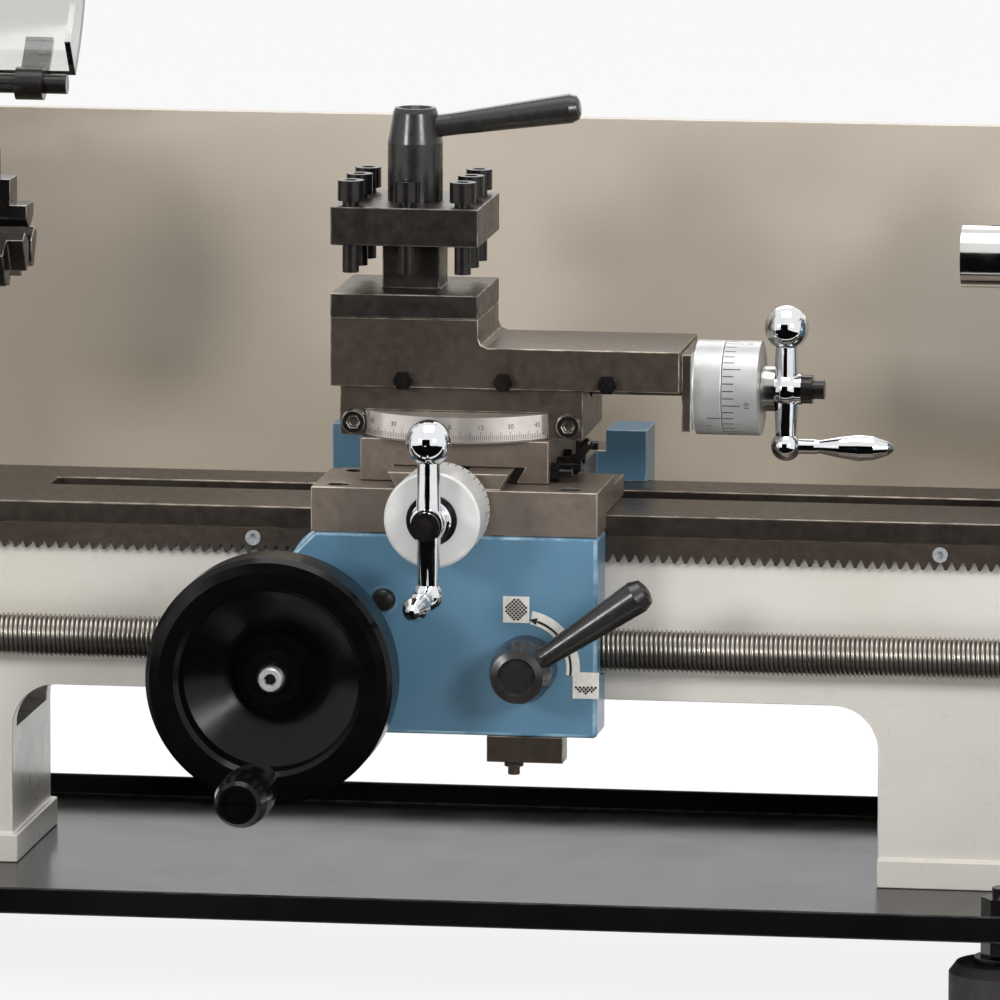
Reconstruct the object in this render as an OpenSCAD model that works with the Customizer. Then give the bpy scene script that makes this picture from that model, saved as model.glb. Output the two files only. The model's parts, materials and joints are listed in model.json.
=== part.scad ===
// Bench lathe, 210 mm swing and 400 mm between centres.
// Machine axes while modelling: X along the bed, Y to the back, Z up from the bed ways,
// with the spindle axis over Y = 0. The module machine() then sets the lathe on its bench.

/* [Bed] */
// Height of the spindle axis over the bed ways
centre_h = 105; // [100:0.5:120]
// Width over the two bed ways
bed_w = 100; // [96:1:110]
// Width of the front way
front_way_w = 48; // [44:1:52]
// Width of the slot between the ways
way_slot_w = 22; // [18:1:24]
// Depth of the ground edge of a way
way_edge_h = 9.5; // [8:0.5:11]
// How far a way overhangs the side of the bed
way_overhang = 6; // [5:0.5:7]
// Depth of the bed beam under the ways
beam_h = 79; // [76:1:84]
// Wall of the bed casting
bed_wall = 10; // [8:1:12]
// Right end of the bed
bed_right = 332; // [325:1:350]
// Open span between the feet, left end
span_left = 201; // [190:1:215]
// Open span between the feet, right end
span_right = 165; // [150:1:175]
// Corner radius under the beam
span_r = 19; // [12:1:24]
// Height of the way tops over the chip tray floor
bed_h = 155; // [150:1:170]
// Height of the plinth round a foot
plinth_h = 12; // [8:1:16]
// How far the plinth stands out
plinth_out = 2.5; // [1:0.5:4]

/* [Rack] */
// Module of the rack
rack_m = 1.5; // [1.5:0.1:1.6]
// Height of the rack with its teeth
rack_h = 10.1; // [9:0.1:11]
// Thickness of the rack
rack_t = 8; // [7:0.5:9]
// Head diameter of a rack screw
rack_screw_d = 6.4; // [6:0.1:6.6]
// Spacing of the rack screws
rack_screw_gap = 288; // [250:1:300]

/* [Tray and feet] */
// Left end of the chip tray
tray_left = 548; // [545:1:580]
// Right end of the chip tray
tray_right = 405; // [400:1:440]
// Front edge of the chip tray
tray_front = 150; // [140:1:160]
// Back edge of the chip tray
tray_back = 118; // [115:1:120]
// Sheet thickness of the chip tray
tray_t = 2; // [1.5:0.5:3]
// Height of the tray rim over its floor
tray_rim = 9; // [6:1:14]
// Diameter of a rubber foot
foot_d = 45; // [36:1:50]
// Height of a rubber foot
foot_h = 26; // [20:1:30]
// Length of the stud that shows over a rubber foot
foot_neck = 17; // [12:1:22]
// Half the spacing of the rubber feet along the bed
foot_dx = 295; // [280:1:320]
// Distance of the front feet from the spindle axis plane
foot_front = 100; // [90:1:110]
// Distance of the rear feet from the spindle axis plane
foot_back = 65; // [55:1:80]
// Height of the splash guard over the ways
guard_top = 146; // [130:1:160]
// Thickness of the splash guard
guard_t = 1.5; // [1:0.5:2]

/* [Headstock] */
// Left end of the headstock casting and of the bed
head_left = 462; // [460:1:464]
// Right face of the headstock
head_right = 292; // [290:1:294]
// Half width of the headstock
head_y = 75; // [74:1:76]
// Height of the headstock casting above the spindle axis
head_rise = 73; // [72:1:79]
// Wall of the headstock
head_wall = 9; // [8:0.5:11]
// Outer diameter of the spindle bearings
bearing_od = 62; // [60:1:64]
// Width of a spindle bearing
bearing_w = 18; // [16:1:20]
// Diameter of the spindle in its bearings
spindle_d = 35; // [34:0.5:36]
// Bore through the spindle
spindle_bore = 21; // [20:0.5:22]
// Diameter of the chuck
chuck_d = 100; // [96:1:104]
// Thickness of the chuck body
chuck_t = 50; // [46:1:52]
// Thickness of the chuck back plate
plate_t = 12; // [10:0.5:13]
// Thickness of a chuck jaw
jaw_w = 16; // [14:0.5:17]
// How far the jaws stand out of the chuck face
jaw_out = 21; // [18:0.5:22]
// Depth of the gear cover
cover_d = 68; // [66:1:72]

/* [Drive] */
// Module of the change gears
gear_m = 1.25; // [1.25:0.05:1.3]
// Teeth of the spindle gear
spindle_teeth = 30; // [30:1:32]
// Teeth of the lead screw gear
screw_teeth = 60; // [58:1:60]
// Diameter of the spindle pulley
pulley_d = 80; // [76:1:84]
// Diameter of the motor pulley
motor_pulley_d = 42; // [38:1:46]
// Diameter of the motor
motor_d = 104; // [96:1:106]
// Length of the motor
motor_l = 135; // [120:1:140]
// Diameter of the lead screw
lead_d = 18; // [16:0.5:18]
// Lead screw axis below the ways
lead_z = 55.6; // [55:0.2:57]
// Lead screw axis in front of the spindle axis
lead_y = 57; // [56.5:0.5:57.5]

/* [Carriage] */
// Left edge of the saddle wing
saddle_left = 68.5; // [66:0.5:70]
// Right edge of the saddle wing
saddle_right = 51.4; // [50:0.2:53]
// Front face of the saddle and apron
saddle_front = 78; // [77.5:0.5:80]
// Top of the saddle wings over the ways
saddle_top = 13; // [12.5:0.5:13.5]
// Lower edge of the saddle front
saddle_drop = 5.8; // [5:0.2:6.2]
// Rear edge of the saddle
saddle_back = 72; // [71:0.5:76]
// Left edge of the apron
apron_left = 115; // [112:1:120]
// Lower edge of the apron
apron_low = 89.8; // [84:0.2:90]
// Depth of the apron
apron_t = 25; // [24:0.5:25.5]
// Handwheel axis left of the saddle centre line
wheel_x = 78; // [77:0.5:79]
// Handwheel axis below the ways
wheel_z = 61; // [60:0.5:62]
// Diameter of the handwheel
wheel_d = 103; // [96:1:108]
// Depth of the handwheel rim
wheel_t = 25; // [20:1:26]
// Front of the handwheel
wheel_front = 130; // [128:1:134]
// Length of the handwheel grip
wheel_grip_l = 58; // [50:1:64]

/* [Cross slide] */
// Centre line of the cross slide
cross_x = -11.4; // [-12:0.2:-11]
// Width of the cross slide
cross_w = 79; // [76:1:82]
// Front face of the cross slide
cross_front = 58; // [56:1:60]
// Length of the cross slide
cross_l = 110; // [106:1:114]
// Top of the cross slide over the ways
cross_top = 31; // [30:0.5:31.5]
// Width over the top of the saddle dovetail
dovetail_w = 51; // [48:1:53]
// Height of the saddle dovetail
dovetail_h = 6.6; // [6:0.2:7]
// Diameter of the cross dial
dial_d = 40; // [36:0.5:41]
// Length of the cross dial
cross_dial_l = 29; // [24:1:30]
// Height of the cross screw axis over the ways
cross_z = 5; // [4.9:0.1:5.5]

/* [Compound slide] */
// Diameter of the graduated swivel disc
disc_d = 98; // [94:1:99]
// Thickness of the swivel disc
disc_t = 11; // [10:0.5:12]
// Swivel axis in front of the spindle axis
disc_y = 22; // [20:1:25]
// Left end of the compound base
base_left = 60.3; // [58:0.5:62]
// Right end of the compound base
base_right = 41.8; // [40:0.2:43]
// Left end of the top slide
top_left = 63.8; // [63:0.2:66]
// Right end of the top slide
top_right = 82.3; // [80:0.5:84]
// Width of the top slide
top_w = 60; // [58:1:61]
// Thickness of the low part of the top slide
top_low_t = 17.2; // [16:0.2:18]
// Thickness of the raised block of the top slide
top_high_t = 29; // [28:0.5:30]
// Thickness of the swivel base above the disc
base_t = 10; // [9:0.5:11]
// Size of the tool post across its flats
post_w = 62; // [58:1:64]
// Thickness of the tool post base plate
post_base_t = 10; // [8:0.5:11]
// Height of the tool slots
post_slot_h = 20; // [16:0.5:21]
// Thickness of the tool post top block
post_top_t = 16; // [14:0.5:18]
// Tool post core across its flats
post_core_w = 24; // [24:0.5:27]
// Diameter of the tool post clamp hub
hub_d = 23; // [21:0.5:24]
// Height of the tool post clamp hub
hub_h = 38.5; // [34:0.5:40]
// Length of the tool post clamp lever from its axis
clamp_l = 70; // [60:1:76]

/* [Tailstock] */
// Diameter of the quill
quill_d = 26; // [24:0.5:27]
// Left end of the quill
quill_x = 194; // [190:0.5:200]
// Left face of the tailstock barrel
tail_left = 215; // [212:1:218]
// Right face of the tailstock barrel
tail_right = 305; // [300:1:310]
// Diameter of the tailstock barrel
barrel_d = 52; // [48:1:54]
// Diameter of the tailstock handwheel
tail_wheel_d = 92; // [84:1:100]

/* [Chuck guard] */
// Guard pivot behind the spindle axis
pivot_y = 60; // [59:0.5:61]
// Guard pivot above the spindle axis
pivot_z = 58; // [56:0.5:60]
// Diameter of the guard pivot rod
pivot_d = 8.5; // [8:0.5:9]
// Right end of the guard
guard_right = 194; // [192:1:198]

/* [Hidden] */
$fn = 64;

e = 1;                 // overshoot of a cut past a face
fit = 0.05;            // gap of a slide or a shaft in its bore
seat = 0.02;           // gap of a body that is clamped in its seat
gap = 0.3;             // gap of parts that pass without touching
bench = bed_h + tray_t + foot_neck + foot_h;
mid_x = (tray_right - tray_left) / 2;
head_back = 190;       // rear of the gear case
front_y = wheel_front + wheel_grip_l;
mid_y = (head_back - front_y) / 2;

way_y = bed_w / 2;
side_y = way_y - way_overhang;
slot_y0 = -way_y + front_way_w;
slot_y1 = slot_y0 + way_slot_w;
floor_z = -bed_h;
bed_left = head_left;
way_slot_left = 193;

rack_y0 = -side_y - rack_t;
rack_tip = -way_edge_h - rack_h;
rack_pitch = PI * rack_m;
rack_pitch_z = rack_tip + rack_m;

// Sets the machine axes on the bench, with the origin under the middle of the whole lathe
module machine() translate([-mid_x, -mid_y, bench]) children();
module box(x0, x1, y0, y1, z0, z1) translate([x0, y0, z0]) cube([x1 - x0, y1 - y0, z1 - z0]);
module xrod(d, x0, x1, y, z) translate([x0, y, z]) rotate([0, 90, 0]) cylinder(d = d, h = x1 - x0);
module yrod(d, y0, y1, x, z) translate([x, y1, z]) rotate([90, 0, 0]) cylinder(d = d, h = y1 - y0);
module zrod(d, z0, z1, x, y) translate([x, y, z0]) cylinder(d = d, h = z1 - z0);
// Extrudes a drawing of X and Z backwards from y0 to y1
module plate_xz(y0, y1) translate([0, y1, 0]) rotate([90, 0, 0]) linear_extrude(y1 - y0) children();
// Extrudes a drawing of Y and Z along the bed from x0 to x1
module plate_yz(x0, x1) translate([x0, 0, 0]) rotate([90, 0, 90]) linear_extrude(x1 - x0) children();
// Rectangle with round corners, given by its corners
module round_rect(x0, y0, x1, y1, r) {
    translate([x0 + r, y0]) square([x1 - x0 - 2 * r, y1 - y0]);
    translate([x0, y0 + r]) square([x1 - x0, y1 - y0 - 2 * r]);
    for (x = [x0 + r, x1 - r], y = [y0 + r, y1 - r]) translate([x, y]) circle(r);
}
// Socket head screw along -Z with its head on the plane z = 0
module cap_screw(head_d, head_h, shank_d, shank_l) {
    difference() {
        cylinder(d = head_d, h = head_h);
        translate([0, 0, head_h * 0.45]) cylinder(d = head_d * 0.55, h = head_h, $fn = 6);
    }
    translate([0, 0, -shank_l]) cylinder(d = shank_d, h = shank_l + 0.01);
}
// Gear drawing with straight flanks, thin enough to leave backlash; one tooth points along +X
module gear_2d(m, z, backlash = 0.2) {
    pitch_r = m * z / 2;
    tip_r = pitch_r + 0.9 * m;
    root_r = pitch_r - 1.2 * m;
    half = 90 / z - backlash / pitch_r * 28.65;
    flank = [[root_r, half * 1.62], [pitch_r, half], [tip_r, half * 0.46]];
    polygon([for (k = [0 : z - 1]) each [
        for (p = flank) p[0] * [cos(k * 360 / z - p[1]), sin(k * 360 / z - p[1])],
        for (i = [2 : -1 : 0])
            flank[i][0] * [cos(k * 360 / z + flank[i][1]), sin(k * 360 / z + flank[i][1])]]]);
}

color_cream = [0.86, 0.84, 0.78];
color_blue = [0.36, 0.53, 0.64];
color_iron = [0.33, 0.32, 0.31];
color_black = [0.07, 0.07, 0.07];
color_steel = [0.62, 0.62, 0.63];
color_chrome = [0.85, 0.85, 0.87];

// Bed casting: two ways on a boxed beam, carried by a foot at each end
module bed_side_2d() difference() {
    translate([-bed_left, floor_z]) square([bed_left + bed_right, -way_edge_h - floor_z]);
    // Arch between the feet
    round_rect(-span_left, floor_z - 2 * span_r, span_right, -beam_h, span_r);
}
rib_gap = 90;
rib_low = 42;           // ribs stay under the tailstock clamp plate
module bed_casting() machine() color(color_cream) difference() {
    union() {
        difference() {
            plate_xz(-side_y, side_y) bed_side_2d();
            box(-bed_left - e, bed_right + e, -side_y + bed_wall, side_y - bed_wall,
                -beam_h - span_r - e, -way_edge_h - 12);
            for (s = [[-bed_left, -span_left], [span_right, bed_right]])
                box(s[0] + bed_wall, s[1] - bed_wall, -side_y + bed_wall, side_y - bed_wall,
                    floor_z - e, -beam_h + e);
        }
        // Cross ribs between the sides
        for (x = [-bed_left + bed_wall / 2 : rib_gap : bed_right])
            box(x - bed_wall / 2, x + bed_wall / 2, -side_y + 1, side_y - 1, -beam_h, -rib_low);
        box(-bed_left, bed_right, -way_y, way_y, -way_edge_h, 0);
        // Plinths round the feet
        for (s = [[-bed_left, -span_left], [span_right, bed_right]])
            difference() {
                box(s[0], s[1] + (s[1] < 0 ? plinth_out : 0), -side_y - plinth_out,
                    side_y + plinth_out, floor_z, floor_z + plinth_h);
                box(s[0] + bed_wall, s[1] - bed_wall, -side_y + bed_wall, side_y - bed_wall,
                    floor_z - e, floor_z + plinth_h + e);
            }
    }
    box(-way_slot_left, bed_right - 10, slot_y0, slot_y1, -30, e);
    for (x = rack_screw_x) yrod(4.2, -side_y - e, -side_y + 16, x, rack_screw_z);
    for (x = guard_screw_x) yrod(4.2, side_y - 12, side_y + e, x, guard_screw_z);
    for (x = [-bed_left + 26, -span_left - 26, span_right + 26, bed_right - 26], s = [-1, 1])
        zrod(8.5, floor_z - e, floor_z + plinth_h + 4, x, s * (side_y - bed_wall / 2));
    for (b = bracket_x, dz = [-1, 1])
        yrod(5.2, -side_y - e, -side_y + 14, (b[0] + b[1]) / 2, -lead_z + dz * bracket_bolt);
}

// Rack under the front way
rack_left = 285;
rack_teeth_n = floor((rack_left + bed_right - 14) / rack_pitch);
rack_right = -rack_left + rack_teeth_n * rack_pitch;
rack_sink = 2.8;        // counterbore of a rack screw
rack_screw_z = -way_edge_h - 0.4 - rack_screw_d / 2;
rack_screw_x = [-97 + rack_screw_gap, -97, rack_right - 22];
module rack() machine() color(color_iron) difference() {
    plate_xz(rack_y0, -side_y) {
        root_z = rack_tip + 2.2 * rack_m;
        polygon(concat([[-rack_left, -way_edge_h], [-rack_left, root_z]],
            [for (k = [0 : rack_teeth_n - 1])
                let (x = -rack_left + (k + 0.5) * rack_pitch, b = rack_pitch / 2)
                each [[x - b * 0.8, root_z], [x - b * 0.22, rack_tip], [x + b * 0.22, rack_tip],
                    [x + b * 0.8, root_z]]],
            [[rack_right, root_z], [rack_right, -way_edge_h]]));
    }
    for (x = rack_screw_x) {
        yrod(4.3, rack_y0 - e, -side_y + e, x, rack_screw_z);
        yrod(rack_screw_d + 0.2, rack_y0 - e, rack_y0 + rack_sink, x, rack_screw_z);
    }
}

// Screws of the rack, splash guard, gear cover and screw brackets
guard_screw_x = [-240, -80, 80, 240];
guard_screw_z = -beam_h + 12;
module machine_screws() machine() color(color_steel) {
    for (x = rack_screw_x) translate([x, rack_y0 + rack_sink, rack_screw_z]) rotate([90, 0, 0])
        cap_screw(rack_screw_d, rack_sink + 0.6, 4, rack_t - rack_sink + 14);
    for (x = guard_screw_x) translate([x, side_y + guard_t, guard_screw_z]) rotate([-90, 0, 0])
        cap_screw(8, 3, 4, guard_t + 10);
    for (b = bracket_x, dz = [-1, 1])
        translate([(b[0] + b[1]) / 2, -side_y - bracket_t, -lead_z + dz * bracket_bolt]) rotate([90, 0, 0])
            cap_screw(8.5, 5, 5, bracket_t + 12);
    for (p = cover_screw_yz) translate([-cover_x, p[0], p[1]]) rotate([0, -90, 0])
        cap_screw(10, 4, 6, cover_d + 4);
}

// Chip tray: a pressed pan with a rolled rim, bolted under the bed feet
module chip_tray() machine() color(color_black) difference() {
    box(-tray_left, tray_right, -tray_front, tray_back + tray_t, floor_z - tray_t, floor_z + tray_rim);
    box(-tray_left + tray_t, tray_right - tray_t, -tray_front + tray_t, tray_back,
        floor_z, floor_z + tray_rim + e);
    for (x = [-bed_left + 26, -span_left - 26, span_right + 26, bed_right - 26], s = [-1, 1])
        zrod(8.5, floor_z - tray_t - e, floor_z + e, x, s * (side_y - bed_wall / 2));
    for (p = foot_xy) zrod(10.4, floor_z - tray_t - e, floor_z + e, p[0], p[1]);
}

// Rubber feet on studs
foot_xy = [for (sx = [-1, 1], y = [-foot_front, foot_back]) [mid_x + sx * foot_dx, y]];
foot_top = floor_z - tray_t - foot_neck;
module rubber_feet() machine() color(color_black) for (p = foot_xy) translate([p[0], p[1], 0])
    difference() {
        rotate_extrude() polygon([[0, -bench], [foot_d / 2, -bench],
            [foot_d / 2, foot_top - 4], [foot_d / 2 - 3, foot_top], [0, foot_top]]);
        translate([0, 0, foot_top - 16]) cylinder(d = 10, h = 16 + e);
    }
module foot_studs() machine() color(color_black) {
    for (p = foot_xy) translate([p[0], p[1], 0]) {
        translate([0, 0, foot_top - 16]) cylinder(d = 10, h = 16 + foot_neck + tray_t + 12);
        translate([0, 0, foot_top]) cylinder(d = 24, h = 2.5);
        translate([0, 0, foot_top + 2.5]) cylinder(d = 19, h = foot_neck - 2.5, $fn = 6);
        translate([0, 0, floor_z]) cylinder(d = 19, h = 8, $fn = 6);
    }
    for (x = [-bed_left + 26, -span_left - 26, span_right + 26, bed_right - 26], s = [-1, 1])
        translate([x, s * (side_y - bed_wall / 2), floor_z - tray_t]) rotate([180, 0, 0])
            cap_screw(13, 6, 8, tray_t + plinth_h);
}

// Splash guard: a sheet that slants in to the bed below, with a lip that the screws hold and bent ends
splash_left = 283;
splash_right = tray_right;
splash_y = tray_back + tray_t;
splash_bend = 24;      // height of the upper bend under the way tops
splash_hem = 6;
splash_side = 14;
lip_h = 20;
lip_low = guard_screw_z - lip_h / 2;
module splash_2d() {
    dy = splash_y - side_y;
    dz = -splash_bend - lip_low - lip_h;
    lean = guard_t * (norm([dy, dz]) - dz) / dy;
    polygon([[side_y, lip_low], [side_y + guard_t, lip_low], [side_y + guard_t, lip_low + lip_h - lean],
        [splash_y + guard_t, -splash_bend - lean], [splash_y + guard_t, guard_top - 2],
        [splash_y + splash_hem, guard_top - 2], [splash_y + splash_hem, guard_top], [splash_y, guard_top],
        [splash_y, -splash_bend], [side_y, lip_low + lip_h]]);
}
module splash_guard() machine() color(color_cream) difference() {
    union() {
        plate_yz(-splash_left, splash_right) splash_2d();
        for (x = [-splash_left, splash_right - guard_t])
            box(x, x + guard_t, splash_y, splash_y + splash_side, -splash_bend, guard_top);
    }
    for (x = guard_screw_x) yrod(4.4, side_y - e, side_y + guard_t + e, x, guard_screw_z);
}

// Headstock: a cast box on the ways, open at the top, with bearing bosses and the gear case plate
case_t = 6;
case_x = -head_left - case_t;
cover_x = -case_x + cover_d;
spindle_z = centre_h;
head_top = spindle_z + head_rise;
nose_x = -head_right + 8;
chuck_x0 = nose_x + plate_t;
chuck_x1 = chuck_x0 + chuck_t;
motor_y = 132;
motor_z = 40;
boss_l = 24;
rod_y = pivot_y;
rod_z = spindle_z + pivot_z;
case_front = -112;
case_low = -106;
case_top = head_top - 8;
cover_screw_yz = [[-98, case_top - 14], [head_back - 16, 84], [60, case_low + 16]];
module case_2d(inset) {
    round_rect(case_front + inset, case_low + inset, head_y - inset, case_top - inset, 14 - inset);
    round_rect(-40, motor_z - 60 + inset, head_back - inset, motor_z + 75 - inset, 14 - inset);
}
module headstock_casting() machine() color(color_cream) difference() {
    union() {
        difference() {
            box(-head_left, -head_right, -head_y, head_y, 0, head_top);
            box(-head_left + head_wall, -head_right - head_wall, -head_y + head_wall, head_y - head_wall,
                14, head_top + e);
        }
        for (x = [-head_left, -head_right - boss_l]) xrod(bearing_od + 20, x, x + boss_l, 0, spindle_z);
        xrod(20, -head_right - head_wall, -head_right + 5, rod_y, rod_z);
        xrod(20, -head_right - 20, -head_right, rod_y, rod_z);
        plate_yz(case_x, -head_left) case_2d(0);
        box(-motor_x1, -motor_x0, head_y - 1, motor_y - motor_d / 2 + 12, motor_z - 30, motor_z + 30);
    }
    xrod(bearing_od, case_x - e, -head_left + boss_l + e, 0, spindle_z);
    xrod(bearing_od, -head_right - boss_l - e, -head_right + e, 0, spindle_z);
    xrod(pivot_d + 2 * fit, -head_right - 30, -head_right + 10, rod_y, rod_z);
    xrod(motor_d + 2 * seat, case_x - e + case_t, -motor_x0 + e, motor_y, motor_z);
    xrod(34, case_x - e, -head_left + e, motor_y, motor_z);
    xrod(lead_end_d + 2, case_x - e, -head_left + e, -lead_y, -lead_z);
    for (p = cover_screw_yz) xrod(6.2, case_x - e, -head_left + e, p[0], p[1]);
    for (b = button_xz) yrod(b[2] + 2 * gap, -head_y - e, -head_y + head_wall + e, b[0], b[1]);
    yrod(knob_shaft_d + 2 * gap, -head_y - e, -head_y + head_wall + e, knob_xz[0], knob_xz[1]);
}

// Sheet cover over the headstock, its edges turned down over the casting
cover_h = 14;
module headstock_cover() machine() color(color_blue) difference() {
    sheet = 2;
    bevel = 8;
    box(-head_left, -head_right, -head_y, head_y, head_top, head_top + cover_h);
    box(-head_left + sheet, -head_right - sheet, -head_y + sheet, head_y - sheet,
        head_top - e, head_top + cover_h - 1);
    for (s = [-1, 1]) translate([-head_left - e, s * head_y, head_top + cover_h]) rotate([45, 0, 0])
        translate([0, -bevel / 2, -bevel / 2]) cube([head_left - head_right + 2 * e, bevel, bevel]);
}

// Gear cover: a deep pressed box over pulleys and change gears
module gear_cover() machine() color(color_blue) difference() {
    union() {
        difference() {
            plate_yz(-cover_x, case_x) case_2d(0);
            plate_yz(-cover_x + 2.5, case_x + e) case_2d(2.5);
        }
        for (p = cover_screw_yz) xrod(13, -cover_x + 1, case_x, p[0], p[1]);
    }
    for (p = cover_screw_yz) xrod(6.4, -cover_x - e, case_x + e, p[0], p[1]);
    xrod(spindle_tail_d + 6, -cover_x - e, -cover_x + 4, 0, spindle_z);
}

// Spindle bearings: inner and outer rings with rollers between them
spindle_tail_d = 28;
bearing_x = [-head_left + 3, -head_right - 3 - bearing_w];
module spindle_bearings() machine() color(color_steel) for (x = bearing_x) {
    race = (bearing_od - spindle_d) / 2;
    roller_r = race * 0.2;
    difference() {
        xrod(bearing_od, x, x + bearing_w, 0, spindle_z);
        xrod(bearing_od - race * 0.5, x - e, x + bearing_w + e, 0, spindle_z);
    }
    difference() {
        xrod(spindle_d + race * 0.7, x, x + bearing_w, 0, spindle_z);
        xrod(spindle_d + 2 * fit, x - e, x + bearing_w + e, 0, spindle_z);
    }
    for (k = [0 : 13]) translate([x + 2, 0, spindle_z]) rotate([k * 360 / 14, 0, 0])
        translate([0, 0, spindle_d / 2 + race * 0.55]) rotate([0, 90, 0])
            cylinder(r = roller_r, h = bearing_w - 4, $fn = 24);
}

// Front control panel with its buttons, knob and the power inlet behind
inlet_z = 132;
panel_t = 4;
panel_y = -head_y - panel_t;
panel_x0 = -head_left + 8;
panel_x1 = -head_right - 10;
panel_z = 44;
button_xz = [[panel_x1 - 24, panel_z + 26, 14], [panel_x1 - 24, panel_z - 8, 14]];
knob_xz = [panel_x0 + 32, panel_z + 12];
knob_shaft_d = 6;
module control_panel() machine() color(color_black) {
    difference() {
        plate_xz(panel_y, -head_y) round_rect(panel_x0, panel_z - 34, panel_x1, panel_z + 54, 5);
        for (b = button_xz) yrod(b[2] + 2 * gap, panel_y - e, -head_y + e, b[0], b[1]);
        yrod(knob_shaft_d + 2 * gap, panel_y - e, -head_y + e, knob_xz[0], knob_xz[1]);
    }
    // Socket of the power inlet in the rear wall
    difference() {
        box(-head_right - 60, -head_right - 22, head_y, head_y + 14, inlet_z - 14, inlet_z + 14);
        box(-head_right - 56, -head_right - 26, head_y + 4, head_y + 14 + e, inlet_z - 10, inlet_z + 10);
    }
}
module stop_button() machine() {
    b = button_xz[0];
    color([0.75, 0.1, 0.08]) {
        yrod(b[2], panel_y - 13, -head_y + 4, b[0], b[1]);
        translate([b[0], panel_y - 13, b[1]]) rotate([90, 0, 0])
            rotate_extrude() polygon([[0, -4], [17, -4], [18, 0], [15, 6], [8, 8], [0, 8.5]]);
    }
}
module start_button() machine() color([0.15, 0.5, 0.2])
    yrod(button_xz[1][2], panel_y - 6, -head_y + 4, button_xz[1][0], button_xz[1][1]);
module speed_knob() machine() color(color_black) {
    yrod(knob_shaft_d, panel_y - 12, -head_y + 4, knob_xz[0], knob_xz[1]);
    difference() {
        yrod(30, panel_y - 17, panel_y - 1, knob_xz[0], knob_xz[1]);
        for (k = [0 : 11]) translate([knob_xz[0], 0, knob_xz[1]]) rotate([0, k * 30 + 15, 0])
            yrod(4, panel_y - 18, panel_y - 3, 16, 0);
        box(knob_xz[0] - 0.8, knob_xz[0] + 0.8, panel_y - 18, panel_y - 16.2, knob_xz[1], knob_xz[1] + 12);
    }
}

// Motor behind the headstock, its pulley and the belt to the spindle
motor_x0 = head_left - 8 - motor_l;
motor_x1 = head_left - 8;
belt_x0 = case_x - 22;
belt_w = 12;
belt_t = 3;
module motor() machine() color(color_iron) {
    difference() {
        xrod(motor_d, -motor_x1, -motor_x0, motor_y, motor_z);
        for (k = [0 : 23]) translate([0, motor_y, motor_z]) rotate([k * 15, 0, 0])
            translate([-motor_x1 + 14, motor_d / 2 - 3, -2]) cube([motor_l - 44, 8, 4]);
    }
}
module motor_pulley() machine() color(color_steel) {
    xrod(14, belt_x0 - 3, -motor_x1 - 0.5, motor_y, motor_z);
    xrod(motor_pulley_d, belt_x0 - 1, belt_x0 + belt_w + 1, motor_y, motor_z);
    for (x = [belt_x0 - 3, belt_x0 + belt_w + 1])
        xrod(motor_pulley_d + 6, x, x + 2, motor_y, motor_z);
}
module belt_loop_2d(r1, r2) {
    dy = motor_y;
    dz = motor_z - spindle_z;
    line = atan2(dz, dy);
    lean = acos((r1 - r2) / norm([dy, dz]));
    translate([0, spindle_z]) circle(r1);
    translate([motor_y, motor_z]) circle(r2);
    polygon([for (q = [[0, 1], [1, 1], [1, -1], [0, -1]])
        let (a = line + q[1] * lean, r = q[0] == 0 ? r1 : r2)
        [q[0] * dy + r * cos(a), spindle_z + q[0] * dz + r * sin(a)]]);
}
module drive_belt() machine() color(color_black) plate_yz(belt_x0, belt_x0 + belt_w) difference() {
    belt_loop_2d(pulley_d / 2 + gap + belt_t, motor_pulley_d / 2 + gap + belt_t);
    belt_loop_2d(pulley_d / 2 + gap, motor_pulley_d / 2 + gap);
}

// Spindle with its nose flange, pulley and change gear
gear_x0 = belt_x0 - 16;
gear_w = 11;
module spindle() machine() color(color_steel) {
    difference() {
        union() {
            xrod(spindle_d, bearing_x[0], -head_right + 1, 0, spindle_z);
            xrod(spindle_tail_d, -cover_x + 1, bearing_x[0] + 1, 0, spindle_z);
            xrod(bearing_od - 14, -head_right + 1, nose_x, 0, spindle_z);
        }
        xrod(spindle_bore, -cover_x, nose_x + e, 0, spindle_z);
    }
    color([0.5, 0.5, 0.5]) difference() {
        union() {
            xrod(pulley_d, belt_x0 - 1, belt_x0 + belt_w + 1, 0, spindle_z);
            for (x = [belt_x0 - 3, belt_x0 + belt_w + 1]) xrod(pulley_d + 6, x, x + 2, 0, spindle_z);
        }
        xrod(spindle_tail_d, belt_x0 - 4, belt_x0 + belt_w + 4, 0, spindle_z);
    }
    color([0.5, 0.5, 0.5]) difference() {
        translate([0, 0, spindle_z]) plate_yz(gear_x0, gear_x0 + gear_w)
            rotate(idler_line) gear_2d(gear_m, spindle_teeth);
        xrod(spindle_tail_d, gear_x0 - e, gear_x0 + gear_w + e, 0, spindle_z);
    }
}

// Change gears from the spindle down to the lead screw
lead_dist = norm([lead_y, spindle_z + lead_z]);
idler_teeth = ceil((lead_dist / gear_m - (spindle_teeth + screw_teeth) / 2) + 0.2);
d1 = gear_m * (spindle_teeth + idler_teeth) / 2;
d2 = gear_m * (screw_teeth + idler_teeth) / 2;
lead_line = atan2(-lead_z - spindle_z, -lead_y);
idler_line = lead_line + acos((d1 * d1 + lead_dist * lead_dist - d2 * d2) / (2 * d1 * lead_dist));
idler_c = [d1 * cos(idler_line), spindle_z + d1 * sin(idler_line)];
mesh_line = atan2(-lead_z - idler_c[1], -lead_y - idler_c[0]);
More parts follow.
